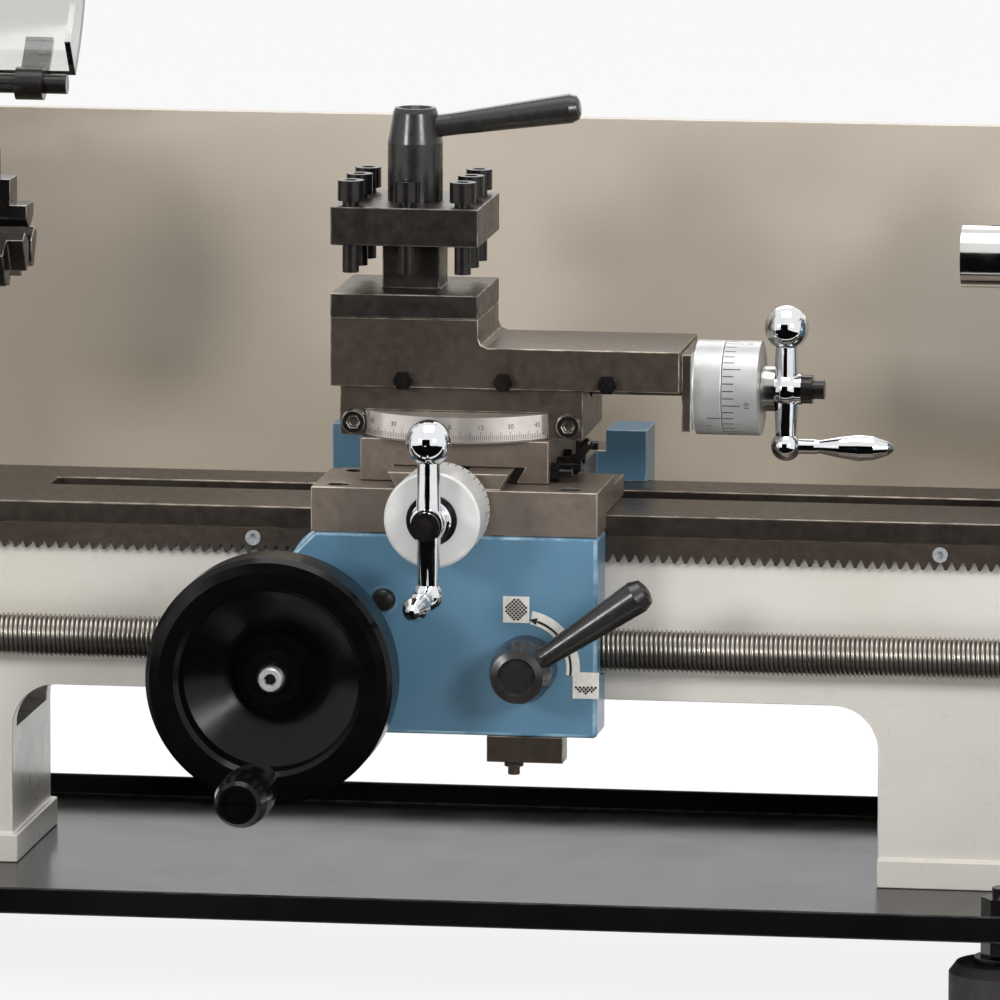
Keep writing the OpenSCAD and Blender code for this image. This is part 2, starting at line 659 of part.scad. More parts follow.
// Turn of a gear that meshes with one of n1 teeth, whose tooth points along a1, on the line at line
function mesh_turn(line, a1, n1, n2) = line + 180 + 180 / n2 - (a1 - line) * n1 / n2;
idler_turn = mesh_turn(idler_line, idler_line, spindle_teeth, idler_teeth);
screw_turn = mesh_turn(mesh_line, idler_turn, idler_teeth, screw_teeth);
stud_d = 12;
idler_hole_r = (gear_m * idler_teeth / 2 + stud_d) / 2 - 0.75;
module idler_gear() machine() color([0.5, 0.5, 0.5]) difference() {
    translate([0, idler_c[0], idler_c[1]]) union() {
        plate_yz(gear_x0, gear_x0 + gear_w) rotate(idler_turn) gear_2d(gear_m, idler_teeth);
    }
    xrod(stud_d + 2 * fit, gear_x0 - e, gear_x0 + gear_w + e, idler_c[0], idler_c[1]);
    for (k = [0 : 5]) translate([0, idler_c[0], idler_c[1]]) rotate([k * 60, 0, 0])
        xrod(20, gear_x0 - e, gear_x0 + gear_w + e, idler_hole_r, 0);
}
// Slotted banjo arm that clamps the idler stud
banjo_w = 26;
module gear_banjo() machine() color(color_iron) {
    x1 = case_x - 5;
    dir = idler_c - [-lead_y, -lead_z];
    long = norm(dir);
    difference() {
        union() {
            translate([0, -lead_y, -lead_z]) plate_yz(x1, case_x) rotate(atan2(dir[1], dir[0])) {
                circle(banjo_w / 2 + 7);
                translate([0, -banjo_w / 2]) square([long, banjo_w]);
                translate([long, 0]) circle(banjo_w / 2);
            }
        }
        xrod(lead_end_d + 4, x1 - e, case_x + e, -lead_y, -lead_z);
    }
    xrod(stud_d, gear_x0 - 3, case_x, idler_c[0], idler_c[1]);
    xrod(stud_d + 7, x1 - 4, x1, idler_c[0], idler_c[1]);
    xrod(stud_d + 5, gear_x0 - 3, gear_x0 - gap, idler_c[0], idler_c[1]);
}

// Lead screw with its journals and change gear
lead_end_d = 12;
bracket_x = [[-332, -308], [298, 322]];
bracket_t = lead_y + 14 - side_y;
bracket_bolt = 16;
module lead_screw() machine() color(color_iron) {
    xrod(lead_d, bracket_x[0][1] + gap, bracket_x[1][0] - gap, -lead_y, -lead_z);
    xrod(lead_end_d, gear_x0 - 3, bracket_x[1][1] + 5, -lead_y, -lead_z);
    color([0.5, 0.5, 0.5]) difference() {
        translate([0, -lead_y, -lead_z]) plate_yz(gear_x0, gear_x0 + gear_w)
            rotate(screw_turn) gear_2d(gear_m, screw_teeth);
        xrod(lead_end_d, gear_x0 - e, gear_x0 + gear_w + e, -lead_y, -lead_z);
    }
}
module screw_brackets() machine() color(color_cream) for (b = bracket_x) difference() {
    box(b[0], b[1], -side_y - bracket_t, -side_y, -lead_z - 22, -lead_z + 22);
    xrod(lead_end_d + 2 * fit, b[0] - e, b[1] + e, -lead_y, -lead_z);
    for (dz = [-1, 1])
        yrod(5.2, -side_y - bracket_t - e, -side_y + e, (b[0] + b[1]) / 2, -lead_z + dz * bracket_bolt);
}

// Three-jaw chuck and its back plate
module back_plate() difference() {
    xrod(chuck_d, nose_x, chuck_x0, 0, spindle_z);
    xrod(spindle_bore + 1, nose_x - e, chuck_x0 + e, 0, spindle_z);
}
scroll_x0 = chuck_x0 + 8;
scroll_t = 14;
jaw_x0 = scroll_x0 + scroll_t + 2 * gap;
jaw_turn = [90, 210, 330];
jaw_tip_r = 4;
jaw_close = 3;
module chuck_body() machine() color(color_steel) {
    back_plate();
    chuck_shell();
}
module chuck_shell() difference() {
    xrod(chuck_d, chuck_x0, chuck_x1, 0, spindle_z);
    xrod(spindle_bore + 1, chuck_x0 - e, chuck_x1 + e, 0, spindle_z);
    // Room for the scroll plate, round the central hub
    difference() {
        xrod(chuck_d - 16, scroll_x0 - gap, jaw_x0 - gap, 0, spindle_z);
        xrod(spindle_bore + 9, scroll_x0 - e, jaw_x0, 0, spindle_z);
    }
    for (a = jaw_turn) translate([0, 0, spindle_z]) rotate([a, 0, 0])
        translate([jaw_x0 - gap, 0, -jaw_w / 2 - fit]) cube([chuck_t, chuck_d, jaw_w + 2 * fit]);
    // Key sockets of the scroll pinions
    for (a = jaw_turn) translate([0, 0, spindle_z]) rotate([a + 60, 0, 0])
        translate([scroll_x0 + 5, chuck_d / 2 - 5, 0]) rotate([-90, 0, 0]) {
            cylinder(d = 12, h = 8);
            translate([-3.5, -3.5, -6]) cube([7, 7, 8]);
        }
}
module chuck_scroll() machine() color(color_steel) difference() {
    xrod(chuck_d - 17, scroll_x0, scroll_x0 + scroll_t, 0, spindle_z);
    xrod(spindle_bore + 9 + 2 * fit, scroll_x0 - e, scroll_x0 + scroll_t + e, 0, spindle_z);
    // Scroll grooves, drawn as rings
    for (r = [20 : 5 : 38]) difference() {
        xrod(2 * r + 2.5, scroll_x0 + scroll_t - 3, scroll_x0 + scroll_t + e, 0, spindle_z);
        xrod(2 * r - 2.5, scroll_x0 + scroll_t - 4, scroll_x0 + scroll_t + 2 * e, 0, spindle_z);
    }
}
module chuck_jaw(a) machine() color(color_steel) translate([0, 0, spindle_z]) rotate([a, 0, 0])
    intersection() {
        jaw_x1 = chuck_x1 + jaw_out;
        translate([0, 0, -jaw_w / 2]) linear_extrude(jaw_w) polygon([
            [jaw_x0, jaw_tip_r], [jaw_x1, jaw_tip_r], [jaw_x1, 14], [jaw_x1 - 7, 14], [jaw_x1 - 7, 25],
            [jaw_x1 - 14, 25], [jaw_x1 - 14, 36], [jaw_x0, 36]]);
        plate_yz(jaw_x0 - e, jaw_x1 + e) {
            r0 = jaw_close + 0.6;
            polygon([[r0, 0], [r0 + 8 / tan(60), -8], [60, -8], [60, 8], [r0 + 8 / tan(60), 8]]);
        }
    }
module chuck_jaw_1() chuck_jaw(jaw_turn[0]);
module chuck_jaw_2() chuck_jaw(jaw_turn[1]);
module chuck_jaw_3() chuck_jaw(jaw_turn[2]);

// Chuck guard: a clear curved hood on a pivot rod, drawn swung up
hood_r = 84;
hood_t = 2.5;
guard_x0 = nose_x - 2;
guard_x1 = -guard_right;
guard_open = 100;
module chuck_guard() machine() color([0.8, 0.85, 0.88, 0.4])
    translate([0, rod_y, rod_z]) rotate([-guard_open, 0, 0]) translate([0, -rod_y, -rod_z]) {
        difference() {
            translate([0, 0, spindle_z]) plate_yz(guard_x0, guard_x1) difference() {
                circle(hood_r + hood_t);
                circle(hood_r);
                polygon([[0, 0], [200, 200 * tan(50)], [200, -200], [-200, -200], [-200, 200 * tan(14)]]);
            }
        }
        // Right cheek
        translate([0, 0, spindle_z]) plate_yz(guard_x1 - hood_t, guard_x1) difference() {
            circle(hood_r + 0.5);
            circle(hood_r - 18);
            polygon([[0, 0], [200, 200 * tan(50)], [200, -200], [-200, -200], [-200, 200 * tan(14)]]);
        }
    }
module guard_rod() machine() color(color_black) {
    xrod(pivot_d, -head_right - 28, guard_x1 - 2, rod_y, rod_z);
    translate([0, rod_y, rod_z]) rotate([-guard_open, 0, 0]) translate([0, -rod_y, -rod_z])
        for (x = [guard_x0 + 14, guard_x1 - 24]) difference() {
            union() {
                xrod(14, x, x + 12, rod_y, rod_z);
                translate([0, 0, spindle_z]) plate_yz(x, x + 12) difference() {
                    circle(hood_r + hood_t + 3);
                    circle(hood_r + hood_t);
                    polygon([[0, 0], [200, 200 * tan(44)], [200, -200], [-200, -200], [-200, 200], [0, 200],
                        [200 * cos(63), 200 * sin(63)]]);
                }
            }
            xrod(pivot_d, x - e, x + 12 + e, rod_y, rod_z);
        }
}

// Saddle: two wings joined by a bridge, with the dovetail of the cross slide along the bridge
wing_y = 5;
rear_wing_y = 44;
bridge_half = 46;
rear_half = 67.4;
ear_w = 17.4;
ear_h = 9;
dove_front = -saddle_front + 2;
nut_w = 16;
cross_r = 4.5;
screw_x = cross_x - 1.6;
saddle_z0 = fit;
module dovetail_2d(w, h) polygon([[-w / 2 + h / tan(60), 0], [w / 2 - h / tan(60), 0], [w / 2, h], [-w / 2, h]]);
// The same drawing with running room on its flanks and its top
module dovetail_room_2d(w, h) dovetail_2d(w + 2 * fit + 2 * gap / tan(60), h + gap);
module saddle() machine() color(color_iron) difference() {
    union() {
        difference() {
            union() {
                box(-saddle_left, saddle_right, -saddle_front, wing_y, saddle_z0, saddle_top);
                box(cross_x - bridge_half, cross_x + bridge_half, wing_y - e, rear_wing_y + e,
                    saddle_z0, saddle_top);
                box(cross_x - rear_half, cross_x + rear_half, rear_wing_y, saddle_back, saddle_z0, saddle_top);
                box(-saddle_left, saddle_right, -saddle_front, -way_y - fit, -saddle_drop, saddle_z0 + e);
                box(cross_x - rear_half, cross_x + rear_half, way_y + fit, saddle_back, -way_edge_h + fit,
                    saddle_z0 + e);
                for (s = [-1, 1]) translate([cross_x + s * (rear_half - ear_w / 2), 0, 0])
                    box(-ear_w / 2, ear_w / 2, rear_wing_y, saddle_back, saddle_top - e, saddle_top + ear_h);
            }
            // Recesses beside the slide in the front wing
            for (s = [[-saddle_left - e, cross_x - cross_w / 2 - 6], [cross_x + cross_w / 2 + 6, saddle_right + e]])
                box(s[0], s[1], -24, wing_y + e, saddle_top - 4, saddle_top + e);
        }
        translate([cross_x, 0, saddle_top]) plate_xz(dove_front, saddle_back - 1)
            dovetail_2d(dovetail_w, dovetail_h);
    }
    // Channel of the cross screw and its nut
    box(screw_x - nut_w / 2 - gap, screw_x + nut_w / 2 + gap, -saddle_front + 10, saddle_back - 12,
        -0.01, saddle_top + dovetail_h + e);
    yrod(2 * cross_r + 1.5 + 2 * fit, -saddle_front - e, -saddle_front + 10 + e, screw_x, cross_z);
    yrod(2 * cross_r + 1, saddle_back - 13, saddle_back + e, screw_x, cross_z);
    // Screw pockets along the front edge, and the oil hole
    for (x = saddle_bolt_x) translate([x, -saddle_front + 9, 0]) {
        translate([0, 0, saddle_top - 6]) cylinder(d = 9, h = 10);
        translate([0, 0, -saddle_drop - e]) cylinder(d = 5.2, h = 30);
    }
    zrod(8, saddle_top - 7, saddle_top + e, oil_x, oil_y);
    for (x = keeper_bolt_x) zrod(5.2, -way_edge_h - e, -1, x, (way_y + saddle_back) / 2);
}
saddle_bolt_x = [-58, cross_x + 50];
keeper_bolt_x = [-saddle_left + 14, -10, saddle_right - 14];
oil_x = -57;
oil_y = -30;
// Keeper under the rear way, with its bolts, and the bolts that hold the apron
module saddle_keeper() machine() color(color_iron) {
    difference() {
        box(-saddle_left, saddle_right, side_y + gap, saddle_back, -way_edge_h - 8, -way_edge_h - fit);
        for (x = keeper_bolt_x) zrod(5.2, -way_edge_h - 8 - e, -way_edge_h + e, x, (way_y + saddle_back) / 2);
    }
    for (x = keeper_bolt_x) translate([x, (way_y + saddle_back) / 2, -way_edge_h - 8]) rotate([180, 0, 0])
        cap_screw(8.5, 5, 5, 15);
    for (x = saddle_bolt_x) translate([x, -saddle_front + 9, saddle_top - 6])
        cap_screw(8.5, 4.5, 5, saddle_top + saddle_drop - 6 + (x > 0 ? 10 : 0));
}

// Apron: the cast box in front of the bed, open at the back for gears, lead screw and half nuts
apron_y0 = -saddle_front;
apron_y1 = apron_y0 + apron_t;
apron_wall = 5;
gear_y0 = apron_y0 + apron_wall + 0.5;
gear_y1 = gear_y0 + 6;
wheel_gear_teeth = 30;
big_gear_teeth = 45;
pinion_teeth = 16;
pinion_z = rack_pitch_z - rack_m * pinion_teeth / 2;
gears_d = (wheel_gear_teeth + big_gear_teeth) / 2;
pinion_x = -wheel_x + sqrt(gears_d * gears_d - (wheel_z + pinion_z) * (wheel_z + pinion_z));
nut_x0 = 5;
nut_x1 = 38;
nut_y0 = apron_y0 + apron_wall + 5.5;
nut_y1 = -side_y - 2;
nut_lift = 2.0;        // how far each half nut stands off the closed position as drawn
lever_x = 22;
lever_z = 60;
module apron_2d() polygon([[-saddle_left + 1.5, -saddle_drop], [saddle_right, -saddle_drop],
    [saddle_right, -apron_low], [-apron_left, -apron_low],
    [-apron_left, -saddle_drop - (apron_left - saddle_left + 1.5)]]);
module apron() machine() color(color_blue) difference() {
    union() {
        plate_xz(apron_y0, apron_y1) apron_2d();
        yrod(34, -wheel_front + wheel_t + 6, apron_y0 + e, -wheel_x, -wheel_z);
    }
    // Gear pocket, open to the back
    plate_xz(apron_y0 + apron_wall, apron_y1 + e) {
        translate([-wheel_x, -wheel_z]) circle(wheel_gear_teeth / 2 + 2);
        translate([pinion_x, pinion_z]) circle(big_gear_teeth / 2 + 1.6);
    }
    xrod(lead_d + 3, -apron_left - e, saddle_right + e, -lead_y, -lead_z);
    box(-apron_left - e, saddle_right + e, -lead_y, apron_y1 + e, -lead_z - lead_d / 2 - 1.5,
        -lead_z + lead_d / 2 + 1.5);
    // Guideway of the half nuts
    box(nut_x0 - gap, nut_x1 + gap, apron_y0 + apron_wall + 0.5, apron_y1 + e, -apron_low - e, -lead_z + 36);
    yrod(12 + 2 * fit, -wheel_front, apron_y0 + apron_wall + e, -wheel_x, -wheel_z);
    yrod(8 + 2 * fit, apron_y0 + 1.5, apron_y0 + apron_wall + e, pinion_x, pinion_z);
    yrod(10 + 2 * fit, apron_y0 - e, apron_y0 + apron_wall + 1, lever_x, -lever_z);
    yrod(9, apron_y0 - e, apron_y0 + 3, -38, -34);
    for (x = saddle_bolt_x) if (x > 0) zrod(5.2, -saddle_drop - 12, -saddle_drop + e, x, -saddle_front + 9);
    for (x = [nut_x0 + 5, nut_x1 - 5]) zrod(3.4, -apron_low - e, -apron_low + 0.01, x, apron_y0 + 8);
}
// Stop block under the apron that sets how far the half nuts close
module half_nut_stop() machine() color(color_iron) {
    box(nut_x0 + 0.4, nut_x1 - 0.7, apron_y0 + 0.5, apron_y0 + 14, -apron_low - 11, -apron_low);
    zrod(8, -apron_low - 13.5, -apron_low - 11 + 0.01, nut_x0 + 11, apron_y0 + 7);
    zrod(5, -apron_low - 17, -apron_low - 13.5 + 0.01, nut_x0 + 11, apron_y0 + 7);
}

// Handwheel: dished wheel with a hub recess, its shaft and gear
module handwheel() machine() {
    r = wheel_d / 2;
    color(color_black) translate([-wheel_x, -wheel_front, -wheel_z]) rotate([-90, 0, 0]) difference() {
        rotate_extrude($fn = 128) polygon([[r - 6, 0], [r - 2, 0.8], [r, 3], [r, wheel_t - 3],
            [r - 2, wheel_t - 0.8], [r - 6, wheel_t], [r - 11, wheel_t], [r - 14, wheel_t - 3],
            [20, wheel_t - 2], [19, wheel_t + 4], [6.01, wheel_t + 4], [6.01, 12.5], [11.7, 12.5],
            [11.7, 22], [17, 22], [19, 20], [r - 15, 9], [r - 14, 2], [r - 12, 0]]);
        translate([wheel_grip_dx, wheel_grip_dz, -e]) cylinder(d = 8, h = 12 + e);
    }
    color(color_steel) {
        yrod(12, -wheel_front + 9, gear_y1 + 0.01, -wheel_x, -wheel_z);
        difference() {
            translate([-wheel_x, 0, -wheel_z]) plate_xz(gear_y0, gear_y1)
                rotate(wheel_gear_turn) gear_2d(1, wheel_gear_teeth);
            yrod(12, gear_y0 - e, gear_y1 + e, -wheel_x, -wheel_z);
        }
    }
}
wheel_grip_r = 41;
wheel_grip_a = 266;
wheel_grip_dx = wheel_grip_r * cos(wheel_grip_a);
wheel_grip_dz = -wheel_grip_r * sin(wheel_grip_a);
grip_x = -wheel_x + wheel_grip_dx;
grip_z = -wheel_z - wheel_grip_dz;
module wheel_grip() machine() color(color_black) translate([grip_x, -wheel_front - 1, grip_z])
    rotate([90, 0, 0]) difference() {
        l = wheel_grip_l - 1;
        union() {
            rotate_extrude() polygon([[0, 0], [7, 0], [8, 3], [9, 10], [11, 26], [11.5, 38], [11, 48],
                [9.5, l - 2], [8, l], [6.5, l], [6.5, l - 1.5], [0, l - 1.5]]);
            translate([0, 0, -11]) cylinder(d = 8 - 2 * fit, h = 12);
        }
        translate([-7, -0.8, l - 3]) cube([14, 1.6, 4]);
    }

// Reduction gear and rack pinion on one shaft
rack_tooth_x = -rack_left + 0.5 * rack_pitch;
pinion_offset = pinion_x - rack_tooth_x;
pinion_roll = (pinion_offset / rack_pitch - floor(pinion_offset / rack_pitch)) * 360 / pinion_teeth;
pinion_turn = 90 + 180 / pinion_teeth + pinion_roll;
gear_line = atan2(pinion_z + wheel_z, pinion_x + wheel_x);
wheel_gear_turn = gear_line;
big_gear_turn = mesh_turn(gear_line, wheel_gear_turn, wheel_gear_teeth, big_gear_teeth);
module rack_pinion() machine() color(color_steel) {
    translate([pinion_x, 0, pinion_z]) {
        plate_xz(gear_y0, gear_y1) rotate(big_gear_turn) gear_2d(1, big_gear_teeth);
        plate_xz(rack_y0 - 1, -side_y - 0.8) rotate(pinion_turn) gear_2d(rack_m, pinion_teeth);
    }
    yrod(8, apron_y0 + 2, gear_y0 + 0.01, pinion_x, pinion_z);
    yrod(14, gear_y1 - 0.01, rack_y0 - 1 + 0.01, pinion_x, pinion_z);
}

// Half-nut lever: boss, cam disc behind the apron wall, and the long taper handle
lever_a = 34.5;
lever_l = 64;
lever_hub_l = 17;      // straight part of the hub, before its cone
module half_nut_lever() machine() color(color_black) translate([lever_x, 0, -lever_z]) {
    yrod(26, apron_y0 - lever_hub_l, apron_y0 - gap, 0, 0);
    translate([0, apron_y0 - lever_hub_l, 0]) rotate([90, 0, 0]) rotate_extrude()
        polygon([[0, -0.5], [13, -0.5], [13, 1], [11, 12], [8, 13], [7, 11], [0, 11]]);
    yrod(10, apron_y0 - lever_hub_l, apron_y0 + apron_wall + 1, 0, 0);
    yrod(20, apron_y0 + apron_wall + 0.8, apron_y0 + apron_wall + 4.8, 0, 0);
    translate([0, apron_y0 - lever_hub_l - 3, 0]) rotate([0, -lever_a, 0]) rotate([0, 90, 0]) rotate_extrude()
        polygon([[0, 4], [4.5, 4], [4.5, 14], [7, lever_l - 5], [5.5, lever_l - 1], [3, lever_l],
            [0, lever_l]]);
}
module half_nut(s) machine() color([0.72, 0.55, 0.3]) difference() {
    z0 = -lead_z + s * nut_lift;
    box(nut_x0, nut_x1, nut_y0, nut_y1, s > 0 ? z0 + gap / 2 : z0 - 20, s > 0 ? z0 + 20 : z0 - gap / 2);
    translate([0, 0, s * nut_lift]) xrod(lead_d + 2 * gap, nut_x0 - e, nut_x1 + e, -lead_y, -lead_z);
}
module upper_half_nut() half_nut(1);
module lower_half_nut() half_nut(-1);

// Cross screw with its ball crank, and the graduated dial round it
dial_y0 = -saddle_front - 3;
dial_y1 = dial_y0 - cross_dial_l;
// Ball crank: turning axis along Z, arm along Y, with its hub face on z = 0
module ball_crank(hub_l, up, down, ball_up, ball_down, grip_l) {
    cylinder(d = 13, h = hub_l);
    translate([0, 0, hub_l - 6.5]) sphere(d = 15);
    translate([0, 0, hub_l - 6.5]) {
        rotate([-90, 0, 0]) cylinder(d1 = 10.5, d2 = 8.5, h = up);
        rotate([90, 0, 0]) cylinder(d1 = 10.5, d2 = 8.5, h = down);
        translate([0, up, 0]) sphere(d = ball_up);
        translate([0, -down, 0]) sphere(d = ball_down);
    }
    color(color_black) translate([0, 0, hub_l - 0.5]) {
        cylinder(d = 12, h = 5);
        translate([0, 0, 5]) cylinder(d = 8, h = 5);
    }
    translate([0, -down, hub_l - 6.5]) rotate_extrude() polygon([[0, 0], [3.2, 5], [3.2, 12],
        [2.8, 14], [4.5, grip_l * 0.5], [5.6, grip_l * 0.68], [5, grip_l * 0.82], [3, grip_l * 0.95],
        [1.2, grip_l], [0, grip_l]]);
}
module cross_crank() machine() {
    color(color_chrome) translate([screw_x, dial_y1 - gap, cross_z]) rotate([90, 0, 0])
        ball_crank(15, 33.5, 30, 19, 12.6, 46);
    color(color_steel) {
        yrod(2 * cross_r, dial_y1 - 2, saddle_back - 4, screw_x, cross_z);
        yrod(dial_d - 10, -saddle_front - 2.5, -saddle_front - gap, screw_x, cross_z);
    }
}
module cross_dial() machine() color([0.74, 0.75, 0.76]) difference() {
    translate([screw_x, dial_y0, cross_z]) rotate([90, 0, 0]) rotate_extrude()
        polygon([[cross_r, 0], [dial_d / 2, 0], [dial_d / 2, cross_dial_l - 1],
            [dial_d / 2 - 1, cross_dial_l], [cross_r, cross_dial_l]]);
}

// Cross slide over the dovetail, its nut reaching down to the screw
cross_back = -cross_front + cross_l;
slide_z = saddle_top + gap;
gib_t = 3;
spigot_d = 24;
module cross_slide() machine() color(color_iron) difference() {
    union() {
        difference() {
            box(cross_x - cross_w / 2, cross_x + cross_w / 2, -cross_front, cross_back, slide_z, cross_top);
            translate([cross_x, 0, saddle_top]) plate_xz(-cross_front - e, cross_back + e) {
                dovetail_room_2d(dovetail_w, dovetail_h);
                translate([gib_t + 1, 0]) dovetail_room_2d(dovetail_w, dovetail_h);
            }
        }
        box(screw_x - nut_w / 2, screw_x + nut_w / 2, -28, -4, 0.5, saddle_top + dovetail_h + gap + e);
        // Swivel spigot that the compound turns on
        zrod(spigot_d, cross_top - e, cross_top + disc_t + 4, cross_x, -disc_y);
    }
    yrod(2 * cross_r + 2 * fit, -30, 0, screw_x, cross_z);
    for (y = gib_screw_y) xrod(4, cross_x + dovetail_w / 2 - 2, cross_x + cross_w / 2 + e, y, gib_screw_z);
    xrod(5 + 2 * fit, cross_x + dovetail_w / 2, cross_x + cross_w / 2 + e, lock_y, gib_screw_z);
    for (x = [-1, 1]) zrod(5.2, slide_z + 8, cross_top + e, cross_x + x * 30, cross_back - 14);
}
gib_screw_y = [-50, -10, 30];
gib_screw_z = saddle_top + 4.2;
lock_y = -30;
module cross_gib() machine() color(color_black) {
    color(color_steel) translate([cross_x, 0, saddle_top + gap]) intersection() {
        plate_xz(-cross_front + 1, cross_back - 1) difference() {
            translate([gib_t + 1, 0]) dovetail_2d(dovetail_w - 0.2, dovetail_h - gap);
            translate([0.2, -gap]) dovetail_room_2d(dovetail_w, dovetail_h + gap);
        }
        box(5, 60, -200, 200, -1, 20);
    }
    for (y = gib_screw_y) {
        xrod(3.8, cross_x + dovetail_w / 2 + gib_t - 1, cross_x + cross_w / 2 + 9, y, gib_screw_z);
        translate([cross_x + cross_w / 2, y, gib_screw_z]) rotate([0, 90, 0]) cylinder(d = 8, h = 3.5, $fn = 6);
    }
}
module slide_lock_lever() machine() color(color_black) {
    x = cross_x + cross_w / 2;
    xrod(5, x - 8, x + 10, lock_y, gib_screw_z);
    xrod(7.4, x + gap, x + 9, lock_y, gib_screw_z);
    translate([x + 6, lock_y, gib_screw_z]) rotate([0, 35, 0]) rotate_extrude()
        polygon([[0, 2], [1.8, 2], [2.3, 12], [1.6, 13.5], [0, 13.5]]);
}

// Graduated swivel disc on the cross slide
disc_z0 = cross_top;
disc_z1 = disc_z0 + disc_t;
module swivel_disc() machine() color(color_chrome) difference() {
    translate([cross_x, -disc_y, disc_z0]) rotate_extrude($fn = 128) polygon([[spigot_d / 2, 0],
        [disc_d / 2 - 1, 0], [disc_d / 2, 1], [disc_d / 2, disc_t], [spigot_d / 2, disc_t]]);
}

// Compound base: swivels on the disc, with a clamp lug in each corner and the top slide's dovetail
base_y0 = -disc_y - 31;
base_y1 = -disc_y + 29;
slab_z0 = disc_z1 + 2 * fit;
slab_z1 = slab_z0 + base_t;
top_dove_w = 34;
top_dove_h = 8;
top_z0 = slab_z1 + fit;
top_y0 = base_y0 - 3;
top_y1 = top_y0 + top_w;
top_mid_y = (top_y0 + top_y1) / 2;
top_axis_z = slab_z1 - 1;
top_low_z = top_z0 + top_low_t;
top_high_z = top_z0 + top_high_t;
lug_x = [-base_left + 6, base_right - 6];
lug_screw_l = 3.2;
module compound_base() machine() color(color_iron) {
    difference() {
        union() {
            box(-base_left, base_right, base_y0, base_y1, disc_z0 + gap, slab_z1);
            translate([0, top_mid_y, slab_z1]) plate_yz(-base_left, base_right)
                translate([0, -0.01]) dovetail_2d(top_dove_w, top_dove_h);
        }
        zrod(disc_d + 2 * gap, disc_z0 - e, slab_z0, cross_x, -disc_y);
        zrod(spigot_d + 2 * fit, disc_z0, slab_z0 + 4 + gap, cross_x, -disc_y);
        xrod(10.6, -base_left - e, base_right + e, top_mid_y, top_axis_z);
        for (x = lug_x) yrod(4, base_y0 - e, base_y0 + lug_screw_l, x, disc_z0 + disc_t * 0.55);
    }
    color(color_black) for (x = lug_x) translate([x, base_y0, disc_z0 + disc_t * 0.55]) rotate([90, 0, 0])
        difference() {
            union() {
                cylinder(d = 10, h = 2.5);
                translate([0, 0, -lug_screw_l]) cylinder(d = 4, h = lug_screw_l + 0.5);
            }
            cylinder(d = 5, h = 5, $fn = 6);
        }
}

// Top slide: raised block for the tool post, low arm to the right, and the tool post stud
module top_slide() machine() color(color_iron) {
    difference() {
        union() {
            box(-top_left, top_right, top_y0, top_y1, top_z0, top_low_z);
            box(-top_left, -top_left + post_w, top_y0, top_y1, top_low_z - e, top_high_z);
            // Small end fillet between the block and the arm
            translate([-top_left + post_w, 0, top_low_z]) plate_xz(top_y0, top_y1)
                polygon([[-e, -e], [4, -e], [4, 0], [1.2, 1.2], [0, 4], [-e, 4]]);
        }
        translate([0, top_mid_y, slab_z1]) plate_yz(-top_left - e, top_right + e) {
            dovetail_room_2d(top_dove_w, top_dove_h);
            translate([-gib_t - 1, 0]) dovetail_room_2d(top_dove_w, top_dove_h);
        }
        for (x = top_gib_x) yrod(4, top_y0 - e, top_mid_y - top_dove_w / 2 + 1, x, top_gib_z);
    }
    // End bracket and the index sleeve of the dial
    difference() {
        union() {
            box(top_right, top_plate_x, top_y0 + 8, top_y1 - 8, top_axis_z - 16, top_low_z - 2);
            xrod(dial_d - 0.5, top_plate_x, top_plate_x + top_index_l, top_mid_y, top_axis_z);
        }
        xrod(8 + 2 * fit, top_right - e, top_plate_x + top_index_l + e, top_mid_y, top_axis_z);
    }
    color(color_steel) zrod(16, top_high_z - 0.01, post_z2 + hub_h - 8, post_x, post_y);
}
top_gib_x = [-33, 9, 52.5];
top_gib_z = slab_z1 + 3.2;
module top_gib() machine() color(color_black) {
    color(color_steel) translate([0, top_mid_y, slab_z1 + gap]) intersection() {
        plate_yz(-top_left + 1, top_right - 1) difference() {
            translate([-gib_t - 1, 0]) dovetail_2d(top_dove_w - 0.2, top_dove_h - gap);
            translate([-0.2, -gap]) dovetail_room_2d(top_dove_w, top_dove_h + gap);
        }
        box(-200, 200, -60, -5, -1, 20);
    }
    for (x = top_gib_x) {
        yrod(3.8, top_y0 - 2, top_mid_y - top_dove_w / 2 - gib_t + 1, x, top_gib_z);
        translate([x, top_y0, top_gib_z]) rotate([90, 0, 0]) cylinder(d = 8.5, h = 3, $fn = 6);
        yrod(4.6, top_y0 - 5.5, top_y0 - 2, x, top_gib_z);
    }
}
top_plate_x = top_right + 4;
top_index_l = 12;
module top_crank() machine() {
    color(color_chrome) translate([top_plate_x + 32.7, top_mid_y, top_axis_z]) rotate([0, 90, 0])
        rotate([0, 0, 90]) ball_crank(11, 25.8, 24, 18.6, 12.6, 45);
    color(color_steel) {
        xrod(8, -top_left + 12, top_plate_x + 34, top_mid_y, top_axis_z);
        xrod(19, top_plate_x + 27.3, top_plate_x + 33, top_mid_y, top_axis_z);
    }
}
module top_dial() machine() color([0.74, 0.75, 0.76]) difference() {
    xrod(dial_d - 0.5, top_plate_x + top_index_l + gap, top_plate_x + 27, top_mid_y, top_axis_z);
    xrod(8, top_plate_x - e, top_plate_x + 28, top_mid_y, top_axis_z);
}

